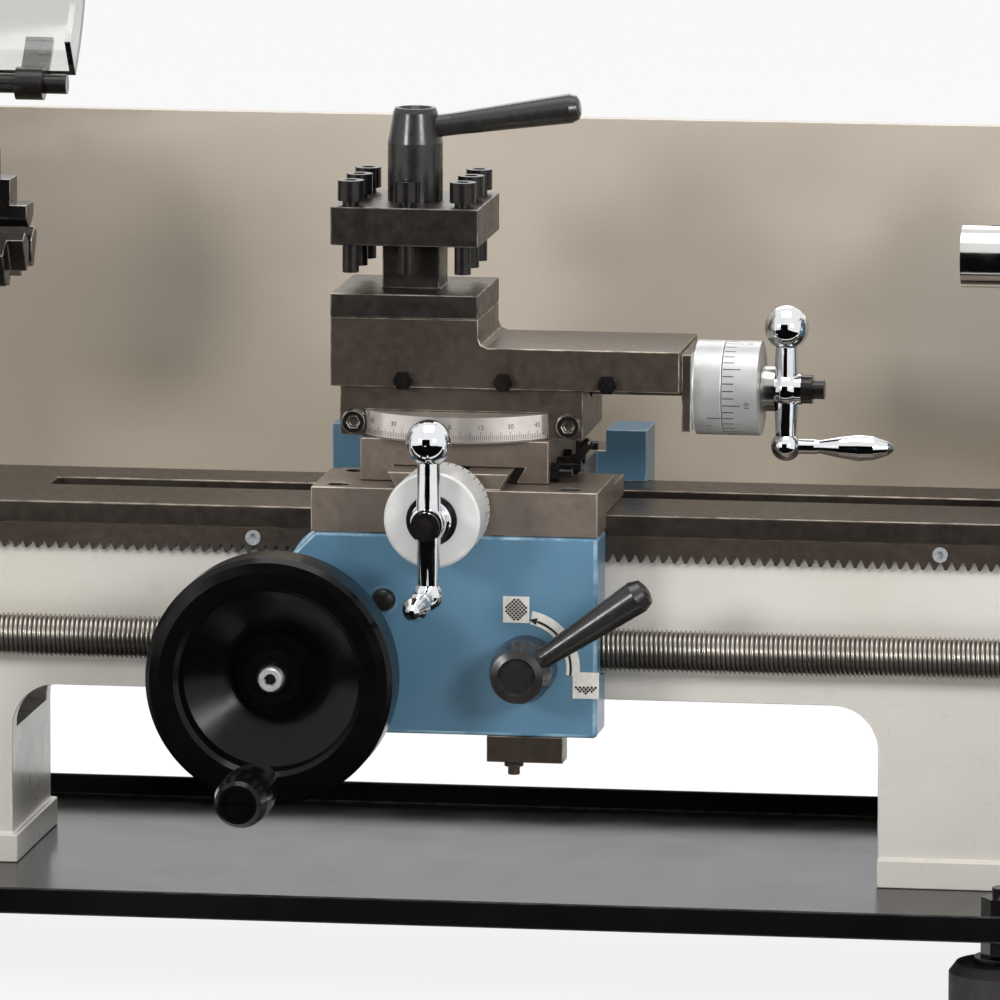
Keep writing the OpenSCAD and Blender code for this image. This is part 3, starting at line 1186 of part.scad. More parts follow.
// Four-way tool post with its clamping screws
post_x = -top_left + post_w / 2;
post_y = top_mid_y;
post_z0 = top_high_z + fit;
post_z1 = post_z0 + post_base_t;
post_slot_z = post_z1 + post_slot_h;
post_z2 = post_slot_z + post_top_t;
post_r = post_w / 2;
post_screw_o = post_r - 7.5;
post_screws = [for (i = [-1 : 1], j = [-1 : 1]) if (i != 0 || j != 0) [i, j] * post_screw_o];
module tool_post() machine() color(color_iron) difference() {
    union() {
        box(post_x - post_r, post_x + post_r, post_y - post_r, post_y + post_r, post_z0, post_z1);
        box(post_x - post_core_w / 2, post_x + post_core_w / 2, post_y - post_core_w / 2,
            post_y + post_core_w / 2, post_z1 - e, post_slot_z + e);
        box(post_x - post_r, post_x + post_r, post_y - post_r, post_y + post_r, post_slot_z, post_z2);
    }
    zrod(16 + 2 * fit, post_z0 - e, post_z2 + e, post_x, post_y);
    for (p = post_screws) zrod(7, post_slot_z - e, post_z2 + e, post_x + p[0], post_y + p[1]);
}
module tool_post_screws() machine() color(color_black) for (p = post_screws)
    translate([post_x + p[0], post_y + p[1], post_z2 + 2]) {
        difference() {
            cylinder(d = 11, h = 8.5);
            translate([0, 0, 4]) cylinder(d = 6, h = 6, $fn = 6);
        }
        translate([0, 0, -post_top_t - 14]) cylinder(d = 6.9, h = post_top_t + 14.01);
    }
clamp_rise = 8.6;
module clamp_lever() machine() color(color_black) translate([post_x, post_y, post_z2 + 2 * fit]) {
    difference() {
        rotate_extrude() polygon([[0, 0], [hub_d / 2, 0], [hub_d / 2, 24], [hub_d / 2 - 2.2, hub_h - 2],
            [hub_d / 2 - 3, hub_h], [7, hub_h], [5, hub_h - 3], [0, hub_h - 3]]);
        translate([0, 0, -e]) cylinder(d = 16 + 2 * fit, h = hub_h - 8 + gap + e);
    }
    translate([0, 0, hub_h - 9]) rotate([0, -clamp_rise, 0]) rotate([0, 90, 0]) difference() {
        rotate_extrude() polygon([[0, 9], [4.75, 9], [4.75, 16], [6.25, clamp_l - 4], [5, clamp_l - 1],
            [3, clamp_l], [0, clamp_l]]);
    }
}

// Tailstock: base on the ways, body with the barrel, quill and screw
tail_base_t = 20;
tail_lever_z = 42;
tail_x0 = tail_left + 6;
tail_x1 = tail_right - 6;
quill_back = tail_right - 12;
module tailstock_base() machine() color(color_iron) {
    difference() {
        union() {
            box(tail_x0, tail_x1, -way_y - 6, way_y + 6, fit, tail_base_t);
            box(tail_x0, tail_x1, slot_y0 + fit * 4, slot_y1 - fit * 4, -8, fit + e);
        }
        zrod(10.4, -8 - e, tail_base_t + e, (tail_x0 + tail_x1) / 2, (slot_y0 + slot_y1) / 2);
    }
    // Clamp plate under the bed, with its bolt
    color(color_steel) {
        x = (tail_x0 + tail_x1) / 2;
        y = (slot_y0 + slot_y1) / 2;
        box(x - 22, x + 22, y - 22, y + 22, -way_edge_h - 12 - 14, -way_edge_h - 12 - gap);
        zrod(10, -way_edge_h - 13, tail_base_t - 1, x, y);
    }
}
module tailstock_body() machine() color(color_blue) difference() {
    union() {
        xrod(barrel_d, tail_left, tail_right, 0, centre_h);
        plate_yz(tail_x0, tail_x1) polygon([[-48, tail_base_t], [48, tail_base_t], [48, tail_base_t + 14],
            [24, 52], [barrel_d / 2 - 1, centre_h], [-barrel_d / 2 + 1, centre_h], [-24, 52],
            [-48, tail_base_t + 14]]);
        zrod(22, centre_h, centre_h + barrel_d / 2 + 8, tail_left + 22, 0);
    }
    xrod(quill_d + 2 * fit, tail_left - e, quill_back, 0, centre_h);
    xrod(12 + 2 * fit, quill_back - e, tail_right + e, 0, centre_h);
    zrod(10 + 2 * fit, centre_h + quill_d / 2 + 1.5, centre_h + barrel_d / 2 + 9, tail_left + 22, 0);
    yrod(14 + 2 * fit, -80, 0, (tail_x0 + tail_x1) / 2, tail_lever_z);
    zrod(12, tail_base_t - e, 34, (tail_x0 + tail_x1) / 2, (slot_y0 + slot_y1) / 2);
}
quill_l = quill_back - 8 - quill_x;
module quill() machine() color(color_steel) difference() {
    xrod(quill_d, quill_x, quill_x + quill_l, 0, centre_h);
    translate([quill_x - 0.01, 0, centre_h]) rotate([0, 90, 0]) cylinder(d1 = 17.8, d2 = 14.9, h = 58);
    xrod(12.4, quill_x + 50, quill_x + quill_l + e, 0, centre_h);
    // Key slot along the top
    box(quill_x + 12, quill_x + quill_l - 6, -1.6, 1.6, centre_h + quill_d / 2 - 2, centre_h + quill_d);
}
module tail_handwheel() machine() {
    r = tail_wheel_d / 2;
    color(color_steel) {
        xrod(12, quill_x + 62, tail_right + 30, 0, centre_h);
        xrod(24, tail_right + gap, tail_right + 9, 0, centre_h);
    }
    color(color_black) translate([tail_right + 9, 0, centre_h]) rotate([0, 90, 0]) {
        rotate_extrude($fn = 96) polygon([[6.01, 0], [13, 0], [14, 8], [r - 12, 10], [r - 8, 2],
            [r - 3, 0], [r, 3], [r, 15], [r - 3, 18], [r - 9, 18], [r - 12, 15], [15, 16], [12, 22],
            [6.01, 22]]);
        translate([r - 8, 0, 17]) rotate_extrude() polygon([[0, 0], [6, 0], [6, 3], [8, 12], [9, 28],
            [7.5, 40], [5, 44], [0, 44]]);
    }
}
module quill_lock_lever() machine() color(color_black) translate([tail_left + 22, 0, 0]) {
    z = centre_h + barrel_d / 2 + 8;
    zrod(10, centre_h + quill_d / 2 + 2, z + 2, 0, 0);
    zrod(18, z + gap, z + 14, 0, 0);
    translate([0, 0, z + 8]) rotate([0, 0, -60]) rotate([0, 75, 0]) rotate_extrude()
        polygon([[0, 6], [3.5, 6], [5, 44], [3, 48], [0, 48]]);
}
module tail_clamp_lever() machine() color(color_black) translate([(tail_x0 + tail_x1) / 2, 0, tail_lever_z]) {
    yrod(14, -52, -2, 0, 0);
    yrod(22, -62, -50.3, 0, 0);
    translate([0, -56, 0]) rotate([0, -50, 0]) rotate([0, 90, 0]) rotate_extrude()
        polygon([[0, 8], [4, 8], [6, 52], [4, 56], [0, 56]]);
}

bed_casting();
rack();
machine_screws();
chip_tray();
rubber_feet();
foot_studs();
splash_guard();
headstock_casting();
headstock_cover();
gear_cover();
spindle_bearings();
control_panel();
motor();
drive_belt();
gear_banjo();
screw_brackets();
spindle();
chuck_body();
chuck_scroll();
chuck_jaw_1();
chuck_jaw_2();
chuck_jaw_3();
motor_pulley();
idler_gear();
lead_screw();
saddle();
saddle_keeper();
apron();
half_nut_stop();
handwheel();
wheel_grip();
rack_pinion();
half_nut_lever();
upper_half_nut();
lower_half_nut();
cross_crank();
cross_dial();
cross_slide();
cross_gib();
slide_lock_lever();
swivel_disc();
compound_base();
top_slide();
top_gib();
top_crank();
top_dial();
tool_post();
tool_post_screws();
clamp_lever();
tailstock_body();
tailstock_base();
quill();
tail_handwheel();
quill_lock_lever();
tail_clamp_lever();
chuck_guard();
guard_rod();
stop_button();
start_button();
speed_knob();
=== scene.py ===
# Bench lathe: finishes, fine detail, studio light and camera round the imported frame.
import json
import math
import bmesh
import bpy
from mathutils import Matrix, Vector

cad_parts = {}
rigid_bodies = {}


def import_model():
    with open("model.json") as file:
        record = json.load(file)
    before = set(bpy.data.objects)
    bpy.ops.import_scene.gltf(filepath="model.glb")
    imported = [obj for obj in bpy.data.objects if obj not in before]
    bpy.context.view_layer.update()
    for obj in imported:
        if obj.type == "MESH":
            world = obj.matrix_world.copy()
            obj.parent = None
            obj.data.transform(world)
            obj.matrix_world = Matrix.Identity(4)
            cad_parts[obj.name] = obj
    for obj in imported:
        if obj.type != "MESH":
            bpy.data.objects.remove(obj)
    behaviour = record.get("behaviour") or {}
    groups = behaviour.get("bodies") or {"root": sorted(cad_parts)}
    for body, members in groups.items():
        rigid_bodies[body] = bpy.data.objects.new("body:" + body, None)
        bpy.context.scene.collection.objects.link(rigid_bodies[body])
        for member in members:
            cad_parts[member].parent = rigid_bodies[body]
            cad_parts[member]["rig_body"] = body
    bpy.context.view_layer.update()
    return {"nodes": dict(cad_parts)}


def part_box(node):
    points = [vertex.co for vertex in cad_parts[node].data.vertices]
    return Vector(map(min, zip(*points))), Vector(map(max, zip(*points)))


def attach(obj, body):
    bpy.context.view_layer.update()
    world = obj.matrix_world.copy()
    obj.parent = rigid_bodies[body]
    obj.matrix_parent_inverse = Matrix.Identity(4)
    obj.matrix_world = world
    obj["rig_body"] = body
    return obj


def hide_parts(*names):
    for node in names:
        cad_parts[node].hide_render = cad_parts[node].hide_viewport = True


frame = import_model()
cadNodes = frame["nodes"]
print("frame loaded:", len(cadNodes), "nodes")

mm = 0.001
bedLow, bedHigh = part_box("bed_casting")
wayTop = bedHigh.z                                   # the ground ways, where the carriage slides
bedMiddle = (bedLow.y + bedHigh.y) / 2               # the spindle axis lies over this line
zeroX = bedLow.x + 462 * mm                          # machine zero along the bed, from its headstock end


def at(x, y, z):                                     # a point given in the lathe's own axes, mm
    return Vector((zeroX + x * mm, bedMiddle + y * mm, wayTop + z * mm))


def fromFrame(point):                                # and back: mm from machine zero, bed middle and way top
    return Vector((point[0] - zeroX, point[1] - bedMiddle, point[2] - wayTop)) / mm


def centre(node):
    low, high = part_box(node)
    return (low + high) / 2


# Small tools for nodes and meshes

def hexColour(code):                                 # sRGB hex to the linear colour of a socket
    parts = [int(code[i:i + 2], 16) / 255 for i in (1, 3, 5)]
    return tuple(p / 12.92 if p <= 0.04045 else ((p + 0.055) / 1.055) ** 2.4 for p in parts) + (1.0,)


def everyMm(pitch):                                  # texture scale on Object coordinates
    return 1 / (pitch * mm)


def addNode(tree, kind, settings=None, **inputs):    # an input is a value or another node's socket
    node = tree.nodes.new(kind)
    for key, value in (settings or {}).items():
        setattr(node, key, value)
    for key, value in inputs.items():                # n0, n1 and so on are sockets by number
        socket = node.inputs[int(key[1:]) if key[0] == "n" else key]
        if isinstance(value, bpy.types.NodeSocket):
            tree.links.new(value, socket)
        else:
            socket.default_value = value
    return node


# Finishes. A recipe says what the real surface is; makeFinish turns it into nodes.
# base and vary: the two tones of the surface, drifting over varyMm. rough: lowest and highest
# roughness over roughMm. grain: (feature mm, depth mm) pairs of bump. lines: (direction, pitch mm,
# depth mm) of grinding or turning marks. Grain and lines are drawn as coarse as they need to show.
# speckle: (tone, size mm, strength). coat: (weight, roughness) of a clear gloss on top. edge: the
# lighter tone of the eased edges: partly handling wear, partly painted edge highlight.
finishes = {
    # sprayed gloss enamel on filled cast iron: faint orange peel, soft highlights
    "creamCastEnamel": dict(base="#e2ddd5", vary="#dad5cb", varyMm=60, rough=(0.26, 0.36), roughMm=12,
                            grain=[(1.6, 0.012), (0.5, 0.004)], edge="#efe9df", coat=(0.25, 0.12)),
    # stoved enamel on folded sheet steel: flatter than on castings, and glossier
    "creamSheetEnamel": dict(base="#cdc2b3", vary="#c4b8a8", varyMm=180, rough=(0.2, 0.27), roughMm=25,
                             grain=[(2.2, 0.006)], edge="#ddd3c4", coat=(0.3, 0.1)),
    # blue machine enamel, sprayed: satin with fine orange peel
    "blueCastEnamel": dict(base="#5d87a2", vary="#577e97", varyMm=45, rough=(0.3, 0.4), roughMm=10,
                           grain=[(1.3, 0.014), (0.4, 0.004)], edge="#9fc0d2", coat=(0.2, 0.15)),
    # black gloss enamel on the pressed tray: dark, mirrors what stands over it
    "blackTrayEnamel": dict(base="#121212", vary="#0c0c0c", varyMm=90, rough=(0.15, 0.21), roughMm=30,
                            grain=[(3.0, 0.005)], edge="#2c2c2c", specular=0.16),
    # ground grey cast iron under oil: brown-grey, speckled by graphite, fine lines along the stroke
    "groundIron": dict(base="#8a7f75", vary="#7e736a", varyMm=35, metal=0.7, rough=(0.3, 0.46), roughMm=3,
                       grain=[(0.7, 0.006)], lines=("x", 0.35, 0.004), speckle=("#5d534b", 0.8, 0.22),
                       edge="#cfc6ba"),
    # saddle and cross slide: oil dulls the ground iron to a warm grey
    "saddleIron": dict(base="#8e8278", vary="#82766c", varyMm=30, metal=0.6, rough=(0.34, 0.44), roughMm=3,
                       grain=[(0.6, 0.006)], lines=("x", 0.35, 0.003), speckle=("#5d534b", 0.7, 0.22),
                       edge="#b9afa3"),
    # the same iron with an older oil film: top slide, compound base and rack
    "oiledIron": dict(base="#5f554c", vary="#564c44", varyMm=40, metal=0.7, rough=(0.3, 0.4), roughMm=4,
                      grain=[(0.7, 0.005)], lines=("x", 0.4, 0.003), speckle=("#3c342e", 0.8, 0.2),
                      edge="#b3a797"),
    # ways ground along the bed, under old oil: dark, with long streaks
    "groundWay": dict(base="#5a524a", vary="#534b44", varyMm=60, metal=0.8, rough=(0.26, 0.36), roughMm=5,
                      grain=[(0.8, 0.004)], lines=("x", 0.5, 0.004), edge="#80776d"),
    # hot black oxide on milled steel: near black, warm, a trace of oil
    "blackOxide": dict(base="#46403c", vary="#3d3733", varyMm=25, metal=0.8, rough=(0.28, 0.42), roughMm=4,
                       grain=[(0.5, 0.003)], lines=("x", 0.3, 0.002), edge="#8b837a"),
    # black oxide on turned screws and nuts: plain, and glossier than on milled steel
    "blackScrew": dict(base="#211f1e", vary="#2c2927", varyMm=5, metal=0.5, rough=(0.16, 0.26), roughMm=2,
                       grain=[(0.3, 0.002)], edge="#9a928a"),
    # bright steel, ground: spindle, chuck body, hubs and gears
    "groundSteel": dict(base="#c3c1bd", vary="#aeaba6", varyMm=18, metal=1, rough=(0.16, 0.28), roughMm=4,
                        grain=[(0.4, 0.002)], lines=("yz", 0.3, 0.003), edge="#f0eeea"),
    # hardened jaws: dark, ground where they meet the work
    "hardenedSteel": dict(base="#4d4a48", vary="#3e3b39", varyMm=14, metal=0.9, rough=(0.16, 0.28), roughMm=3,
                          grain=[(0.4, 0.002)], lines=("x", 0.3, 0.002), edge="#b9b4ae"),
    # lapped quill: bright, clear reflections
    "lappedSteel": dict(base="#dcdad7", vary="#cfcdc9", varyMm=20, metal=1, rough=(0.09, 0.15), roughMm=5,
                        grain=[(0.4, 0.001)], edge="#f0eeea"),
    # zinc plated screws and washers: light, slightly blue
    "zincPlate": dict(base="#d6d8d8", vary="#c3c6c7", varyMm=3, metal=0.5, rough=(0.2, 0.34), roughMm=2,
                      grain=[(0.3, 0.002)], edge="#e8eaea"),
    # rolled lead screw, steel, oil in the threads
    "threadSteel": dict(base="#a39d94", vary="#938d84", varyMm=40, metal=0.9, rough=(0.26, 0.34), roughMm=8,
                        grain=[(0.5, 0.002)], edge="#d8d1c6"),
    # dark tone at the bottom of a thread and in the saddle's pockets: painted shade, with old oil and dust
    "rootShadeAndOil": dict(base="#1d1916", vary="#2a241f", varyMm=6, rough=(0.4, 0.55), roughMm=2,
                     grain=[(0.4, 0.004)], edge="#6f665c"),
    # bright chrome plate over polished steel
    "chromePlate": dict(base="#e9eaec", vary="#dfe1e4", varyMm=12, metal=1, rough=(0.03, 0.07), roughMm=6,
                        grain=[(4.0, 0.002)]),
    # satin chrome on the graduated disc: softer than bright chrome
    "satinChrome": dict(base="#e0d8d2", vary="#d0c8c2", varyMm=12, metal=0.65, rough=(0.14, 0.22), roughMm=4,
                        grain=[(0.3, 0.003)], lines=("x", 0.25, 0.004), edge="#f6f4f0"),
    # turned aluminium, clear anodised: silver and matt, the turning too fine to see
    "anodisedAluminium": dict(base="#bebebd", vary="#b5b5b4", varyMm=10, metal=0.45, rough=(0.34, 0.44),
                              roughMm=3, grain=[(0.3, 0.002)], edge="#e6e8e8"),
    # the same on the dial that faces the operator, painted lighter as a lit copy of it, and smoother
    "dialAluminiumLitCopy": dict(base="#e4e4e2", vary="#dadad8", varyMm=12, metal=0.2, rough=(0.3, 0.4), roughMm=3,
                            grain=[(0.3, 0.002)], edge="#f0f0f0"),
    # cast aluminium, tumbled: motor shell
    "castAluminium": dict(base="#8f9294", vary="#808386", varyMm=14, metal=1, rough=(0.42, 0.56), roughMm=3,
                          grain=[(0.8, 0.012)], edge="#b9bcbe"),
    # phenolic handwheel, pressed and polished: deep black gloss
    "blackPhenolic": dict(base="#060606", vary="#0a0909", varyMm=20, rough=(0.16, 0.24), roughMm=8,
                          grain=[(2.5, 0.003)], edge="#2c2a28", specular=0.18),
    # moulded black nylon levers and knobs: satin, slight bloom
    "blackNylon": dict(base="#242221", vary="#2b2927", varyMm=9, rough=(0.2, 0.3), roughMm=4,
                       grain=[(0.6, 0.006)], edge="#4c4844"),
    # moulded rubber: matt, faintly dusty
    "mouldedRubber": dict(base="#211f1e", vary="#2d2a28", varyMm=8, rough=(0.6, 0.8), roughMm=5,
                          grain=[(0.7, 0.02)], edge="#4a4643"),
    # cast gunmetal half nuts
    "castBronze": dict(base="#b48a4d", vary="#9a733c", varyMm=8, metal=1, rough=(0.3, 0.45), roughMm=3,
                       grain=[(0.6, 0.01)], edge="#dcb87c"),
    # engraved or printed marks
    "blackInk": dict(base="#191817", vary="#232120", varyMm=2, rough=(0.4, 0.5), roughMm=2,
                     grain=[(0.3, 0.001)]),
    "whiteInk": dict(base="#e4e1da", vary="#d8d4cc", varyMm=2, rough=(0.4, 0.5), roughMm=2,
                     grain=[(0.3, 0.001)]),
    # satin black panel film over sheet steel
    "panelFilm": dict(base="#232426", vary="#1c1d1f", varyMm=40, rough=(0.36, 0.46), roughMm=5,
                      grain=[(0.5, 0.006)], edge="#4d4e50"),
    # glossy moulded push buttons
    "redButton": dict(base="#b3160f", vary="#a5120c", varyMm=8, rough=(0.18, 0.26), roughMm=5,
                      grain=[(1.0, 0.004)], edge="#d6493f", coat=(0.3, 0.08)),
    "greenButton": dict(base="#1f7a35", vary="#1a6d2e", varyMm=8, rough=(0.18, 0.26), roughMm=5,
                        grain=[(1.0, 0.004)], edge="#4aa462", coat=(0.3, 0.08)),
}


# The part of each noise that is used, and how one is drawn out into lines along an axis
noiseSpan = {"tones": (0.36, 0.64), "flecks": (0.56, 0.7), "patches": (0.3, 0.7), "smudges": (0.35, 0.7)}
lineStretch = {"x": (0.012, 1, 1), "yz": (1, 0.05, 0.05)}


def makeFinish(name, base, vary, varyMm, rough, roughMm, grain, metal=0, lines=None, speckle=None,
               coat=None, specular=0.5):
    material = bpy.data.materials.new(name)
    material.use_nodes = True
    tree = material.node_tree
    shader = tree.nodes["Principled BSDF"]
    place = addNode(tree, "ShaderNodeTexCoord").outputs["Object"]
    drift = addNode(tree, "ShaderNodeTexNoise", Vector=place, Scale=everyMm(varyMm), Detail=4.0)
    low, high = noiseSpan["tones"]
    spread = addNode(tree, "ShaderNodeMapRange", n0=drift.outputs[0], n1=low, n2=high)
    colour = addNode(tree, "ShaderNodeMix", {"data_type": "RGBA"}, n0=spread.outputs[0],
                     n6=hexColour(base), n7=hexColour(vary)).outputs[2]
    if speckle:                                      # dark flecks, coarser than real graphite so they show
        fleck, pitch, strength = speckle
        low, high = noiseSpan["flecks"]
        flecks = addNode(tree, "ShaderNodeTexNoise", Vector=place, Scale=everyMm(pitch), Detail=3.0)
        dark = addNode(tree, "ShaderNodeMapRange", n0=flecks.outputs[0], n1=low, n2=high, n3=0.0, n4=strength)
        colour = addNode(tree, "ShaderNodeMix", {"data_type": "RGBA"}, n0=dark.outputs[0],
                         n6=colour, n7=hexColour(fleck)).outputs[2]
    patches = addNode(tree, "ShaderNodeTexNoise", Vector=place, Scale=everyMm(roughMm), Detail=5.0)
    low, high = noiseSpan["patches"]
    roughness = addNode(tree, "ShaderNodeMapRange", n0=patches.outputs[0], n1=low, n2=high,
                        n3=rough[0], n4=rough[1]).outputs[0]
    normal = None
    bumps = [(place, pitch, depth) for pitch, depth in grain]
    if lines:
        along, pitch, depth = lines
        drawnOut = addNode(tree, "ShaderNodeMapping", Vector=place, Scale=lineStretch[along])
        bumps.append((drawnOut.outputs[0], pitch, depth))
    for vector, pitch, depth in bumps:
        height = addNode(tree, "ShaderNodeTexNoise", Vector=vector, Scale=everyMm(pitch), Detail=2.0)
        swing = depth * mm * 2                       # a noise stays near the middle half of its range
        bump = addNode(tree, "ShaderNodeBump", Height=height.outputs[0], Distance=swing)
        if normal:
            tree.links.new(normal, bump.inputs["Normal"])
        normal = bump.outputs[0]
    for socket, source in (("Base Color", colour), ("Roughness", roughness), ("Normal", normal)):
        tree.links.new(source, shader.inputs[socket])
    shader.inputs["Metallic"].default_value = metal
    shader.inputs["Specular IOR Level"].default_value = specular
    if coat:
        shader.inputs["Coat Weight"].default_value, shader.inputs["Coat Roughness"].default_value = coat
    return material


finish = {}
edgeWearAndHighlightMm = 9                                           # how far a lighter stretch of an edge runs: wear and painted highlight
for name, recipe in finishes.items():
    edgeWearAndHighlight = recipe.pop("edge", None)
    finish[name] = makeFinish(name, **recipe)
    if edgeWearAndHighlight:                                         # the same surface, lighter on the eased edges: partly wear where hands and tools have rubbed it, partly painted edge highlight
        wornAndHighlitEdge = {**recipe, "base": edgeWearAndHighlight, "vary": recipe["base"], "varyMm": edgeWearAndHighlightMm, "speckle": None}
        finish[name + "Edge"] = makeFinish(name + "Edge", **wornAndHighlitEdge)


# Bent polycarbonate, 3 mm: clear with a smoky cast, fine scratches and smudges
clearSheet = {"tints": ("#cfcfcc", "#c7c8c5"), "smudgeMm": 30, "rough": (0.02, 0.1), "scratchMm": 0.8,
              "scratchDepth": 0.004, "scratchStretch": (1, 0.06, 0.06), "ior": 1.58}


def makeClearSheet():
    material = bpy.data.materials.new("bentPolycarbonate")
    material.use_nodes = True
    tree = material.node_tree
    shader = tree.nodes["Principled BSDF"]
    place = addNode(tree, "ShaderNodeTexCoord").outputs["Object"]
    drawnOut = addNode(tree, "ShaderNodeMapping", Vector=place, Scale=clearSheet["scratchStretch"])
    scratch = addNode(tree, "ShaderNodeTexNoise", Vector=drawnOut.outputs[0],
                      Scale=everyMm(clearSheet["scratchMm"]), Detail=3.0)
    smudge = addNode(tree, "ShaderNodeTexNoise", Vector=place, Scale=everyMm(clearSheet["smudgeMm"]),
                     Detail=4.0)
    low, high = noiseSpan["smudges"]
    clean, hazy = clearSheet["rough"]
    haze = addNode(tree, "ShaderNodeMapRange", n0=smudge.outputs[0], n1=low, n2=high, n3=clean, n4=hazy)
    bump = addNode(tree, "ShaderNodeBump", Height=scratch.outputs[0],
                   Distance=clearSheet["scratchDepth"] * mm)
    tint = addNode(tree, "ShaderNodeMix", {"data_type": "RGBA"}, n0=smudge.outputs[0],
                   n6=hexColour(clearSheet["tints"][0]), n7=hexColour(clearSheet["tints"][1]))
    tree.links.new(tint.outputs[2], shader.inputs["Base Color"])
    tree.links.new(haze.outputs[0], shader.inputs["Roughness"])
    tree.links.new(bump.outputs[0], shader.inputs["Normal"])
    shader.inputs["Transmission Weight"].default_value = 1.0
    shader.inputs["IOR"].default_value = clearSheet["ior"]
    return material


finish["bentPolycarbonate"] = makeClearSheet()
print("finishes made:", len(finish))


# Making pieces

def shadeByAngle(mesh, degrees):
    for polygon in mesh.polygons:
        polygon.use_smooth = True
    mesh.set_sharp_from_angle(angle=math.radians(degrees))


def weighNormals(piece):                             # keeps flat faces flat beside their eased edges
    weigh = piece.modifiers.new("weigh", "WEIGHTED_NORMAL")
    weigh.keep_sharp, weigh.weight = True, 80
    done = bpy.data.meshes.new_from_object(piece.evaluated_get(bpy.context.evaluated_depsgraph_get()))
    piece.modifiers.remove(weigh)
    raw, piece.data = piece.data, done
    bpy.data.meshes.remove(raw)
    done.name = piece.name


# degrees: edges sharper than this stay crisp
def makePiece(name, bm, body, materials, replaces=(), degrees=32):
    mesh = bpy.data.meshes.new(name)
    bm.to_mesh(mesh)
    bm.free()
    for material in materials:
        mesh.materials.append(finish[material])
    piece = bpy.data.objects.new(name, mesh)
    bpy.context.scene.collection.objects.link(piece)
    shadeByAngle(mesh, degrees)
    weighNormals(piece)
    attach(piece, body)
    if replaces:
        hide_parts(*replaces)


easing = {"weld": 2e-6, "flat": math.radians(0.4), "sharp": math.radians(35),
          "room": 2.6}                               # space that an edge needs beside it, in edge widths


def mergedCopy(node):                                # a CAD node's mesh with its triangles joined into faces
    bm = bmesh.new()
    bm.from_mesh(cadNodes[node].data)
    bmesh.ops.remove_doubles(bm, verts=bm.verts, dist=easing["weld"])
    bmesh.ops.dissolve_limit(bm, angle_limit=easing["flat"], verts=bm.verts, edges=bm.edges)
    return bm


def isSharp(edge):
    return len(edge.link_faces) == 2 and edge.calc_face_angle(0) > easing["sharp"]


def easeEdges(bm, width):                            # rounds the sharp edges; gives back the new faces
    room = easing["room"] * width * mm
    chosen = []
    for edge in filter(isSharp, bm.edges):
        good = all(face.calc_area() > room * edge.calc_length() * 0.5 for face in edge.link_faces)
        for vert in edge.verts:                      # where three or more meet, each has to be long enough
            meeting = [e for e in vert.link_edges if isSharp(e)]
            good = good and (len(meeting) < 3 or all(e.calc_length() > room for e in meeting))
        if good:
            chosen.append(edge)
    made = bmesh.ops.bevel(bm, geom=chosen, offset=width * mm, offset_type="OFFSET", segments=2,
                           profile=0.5, affect="EDGES", clamp_overlap=False)
    return made["faces"]


# A CAD node again, its edges eased as a file or a casting leaves them
def easedPiece(node, width, materials, pick=None):
    bm = mergedCopy(node)
    eased = set(easeEdges(bm, width))
    for face in bm.faces:
        index = pick(fromFrame(face.calc_center_median()), face.normal) if pick else 0
        face.material_index = index + (len(materials) if face in eased else 0)
    makePiece(node + "Dressed", bm, cadNodes[node]["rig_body"],
              materials + [m + "Edge" for m in materials], replaces=(node,))


# CAD nodes whose shape is right keep it and take their finish here
carriedOver = {
    "oiledIron": ["gear_banjo", "rack"],
    "blackScrew": ["foot_studs", "guard_rod", "tool_post_screws", "slide_lock_lever", "cross_gib", "top_gib"],
    "groundSteel": ["spindle_bearings", "spindle", "chuck_scroll", "motor_pulley", "idler_gear",
                    "rack_pinion"],
    "lappedSteel": ["quill"],
    "zincPlate": ["machine_screws"],
    "castAluminium": ["motor"],
    "mouldedRubber": ["rubber_feet", "drive_belt"],
    "castBronze": ["upper_half_nut", "lower_half_nut"],
    "bentPolycarbonate": ["chuck_guard"],
    "blackPhenolic": ["handwheel", "wheel_grip", "tail_handwheel"],
    "blackNylon": ["half_nut_lever", "clamp_lever", "quill_lock_lever", "tail_clamp_lever", "speed_knob"],
    "redButton": ["stop_button"],
    "greenButton": ["start_button"],
    "satinChrome": ["swivel_disc"],
    "anodisedAluminium": ["top_dial"],
    # cross dial: a lighter copy of the anodised finish, painted light
    "dialAluminiumLitCopy": ["cross_dial"],
}
for name, members in carriedOver.items():
    for node in members:
        mesh = cadNodes[node].data
        mesh.materials.clear()
        mesh.materials.append(finish[name])


# Castings and machined blocks: the CAD shape with eased edges and the finish of each region.
# The places below are in machine mm; a face has a region's finish when its middle lies in it.
saddleFront = fromFrame(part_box("saddle")[0]).y
headFront = fromFrame(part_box("compound_base")[0]).y
wayParts = {"slotFrom": -194, "slotY": (-4, 21), "slotZ": (-31, -0.1), "depth": 9.6, "side": 49}
saddleParts = {"middle": -11.4,                      # of the cross slide, along the bed
               "pockets": [(-58, saddleFront + 9), (38.6, saddleFront + 9), (-57, -30)], "pocketRadius": 4.7,
               "wingTop": 12.7, "painted": 43, "wingFront": 45, "wingOut": 35, "earOut": 49, "wingSide": 66}
compoundParts = {"screwHeads": headFront + 2.45}
topSlideParts = {"indexSleeve": 86.2, "postStud": 82}


def bedRegion(where, normal):                        # the ways are ground on top and down their sides
    near, far = wayParts["slotY"]
    low, high = wayParts["slotZ"]
    inSlot = where.x > wayParts["slotFrom"] and near < where.y < far and low < where.z < high
    top = normal.z > 0.7
    side = abs(normal.y) > 0.9 and abs(where.y) > wayParts["side"]
    return 1 if inSlot or where.z > -wayParts["depth"] and (top or side) else 0


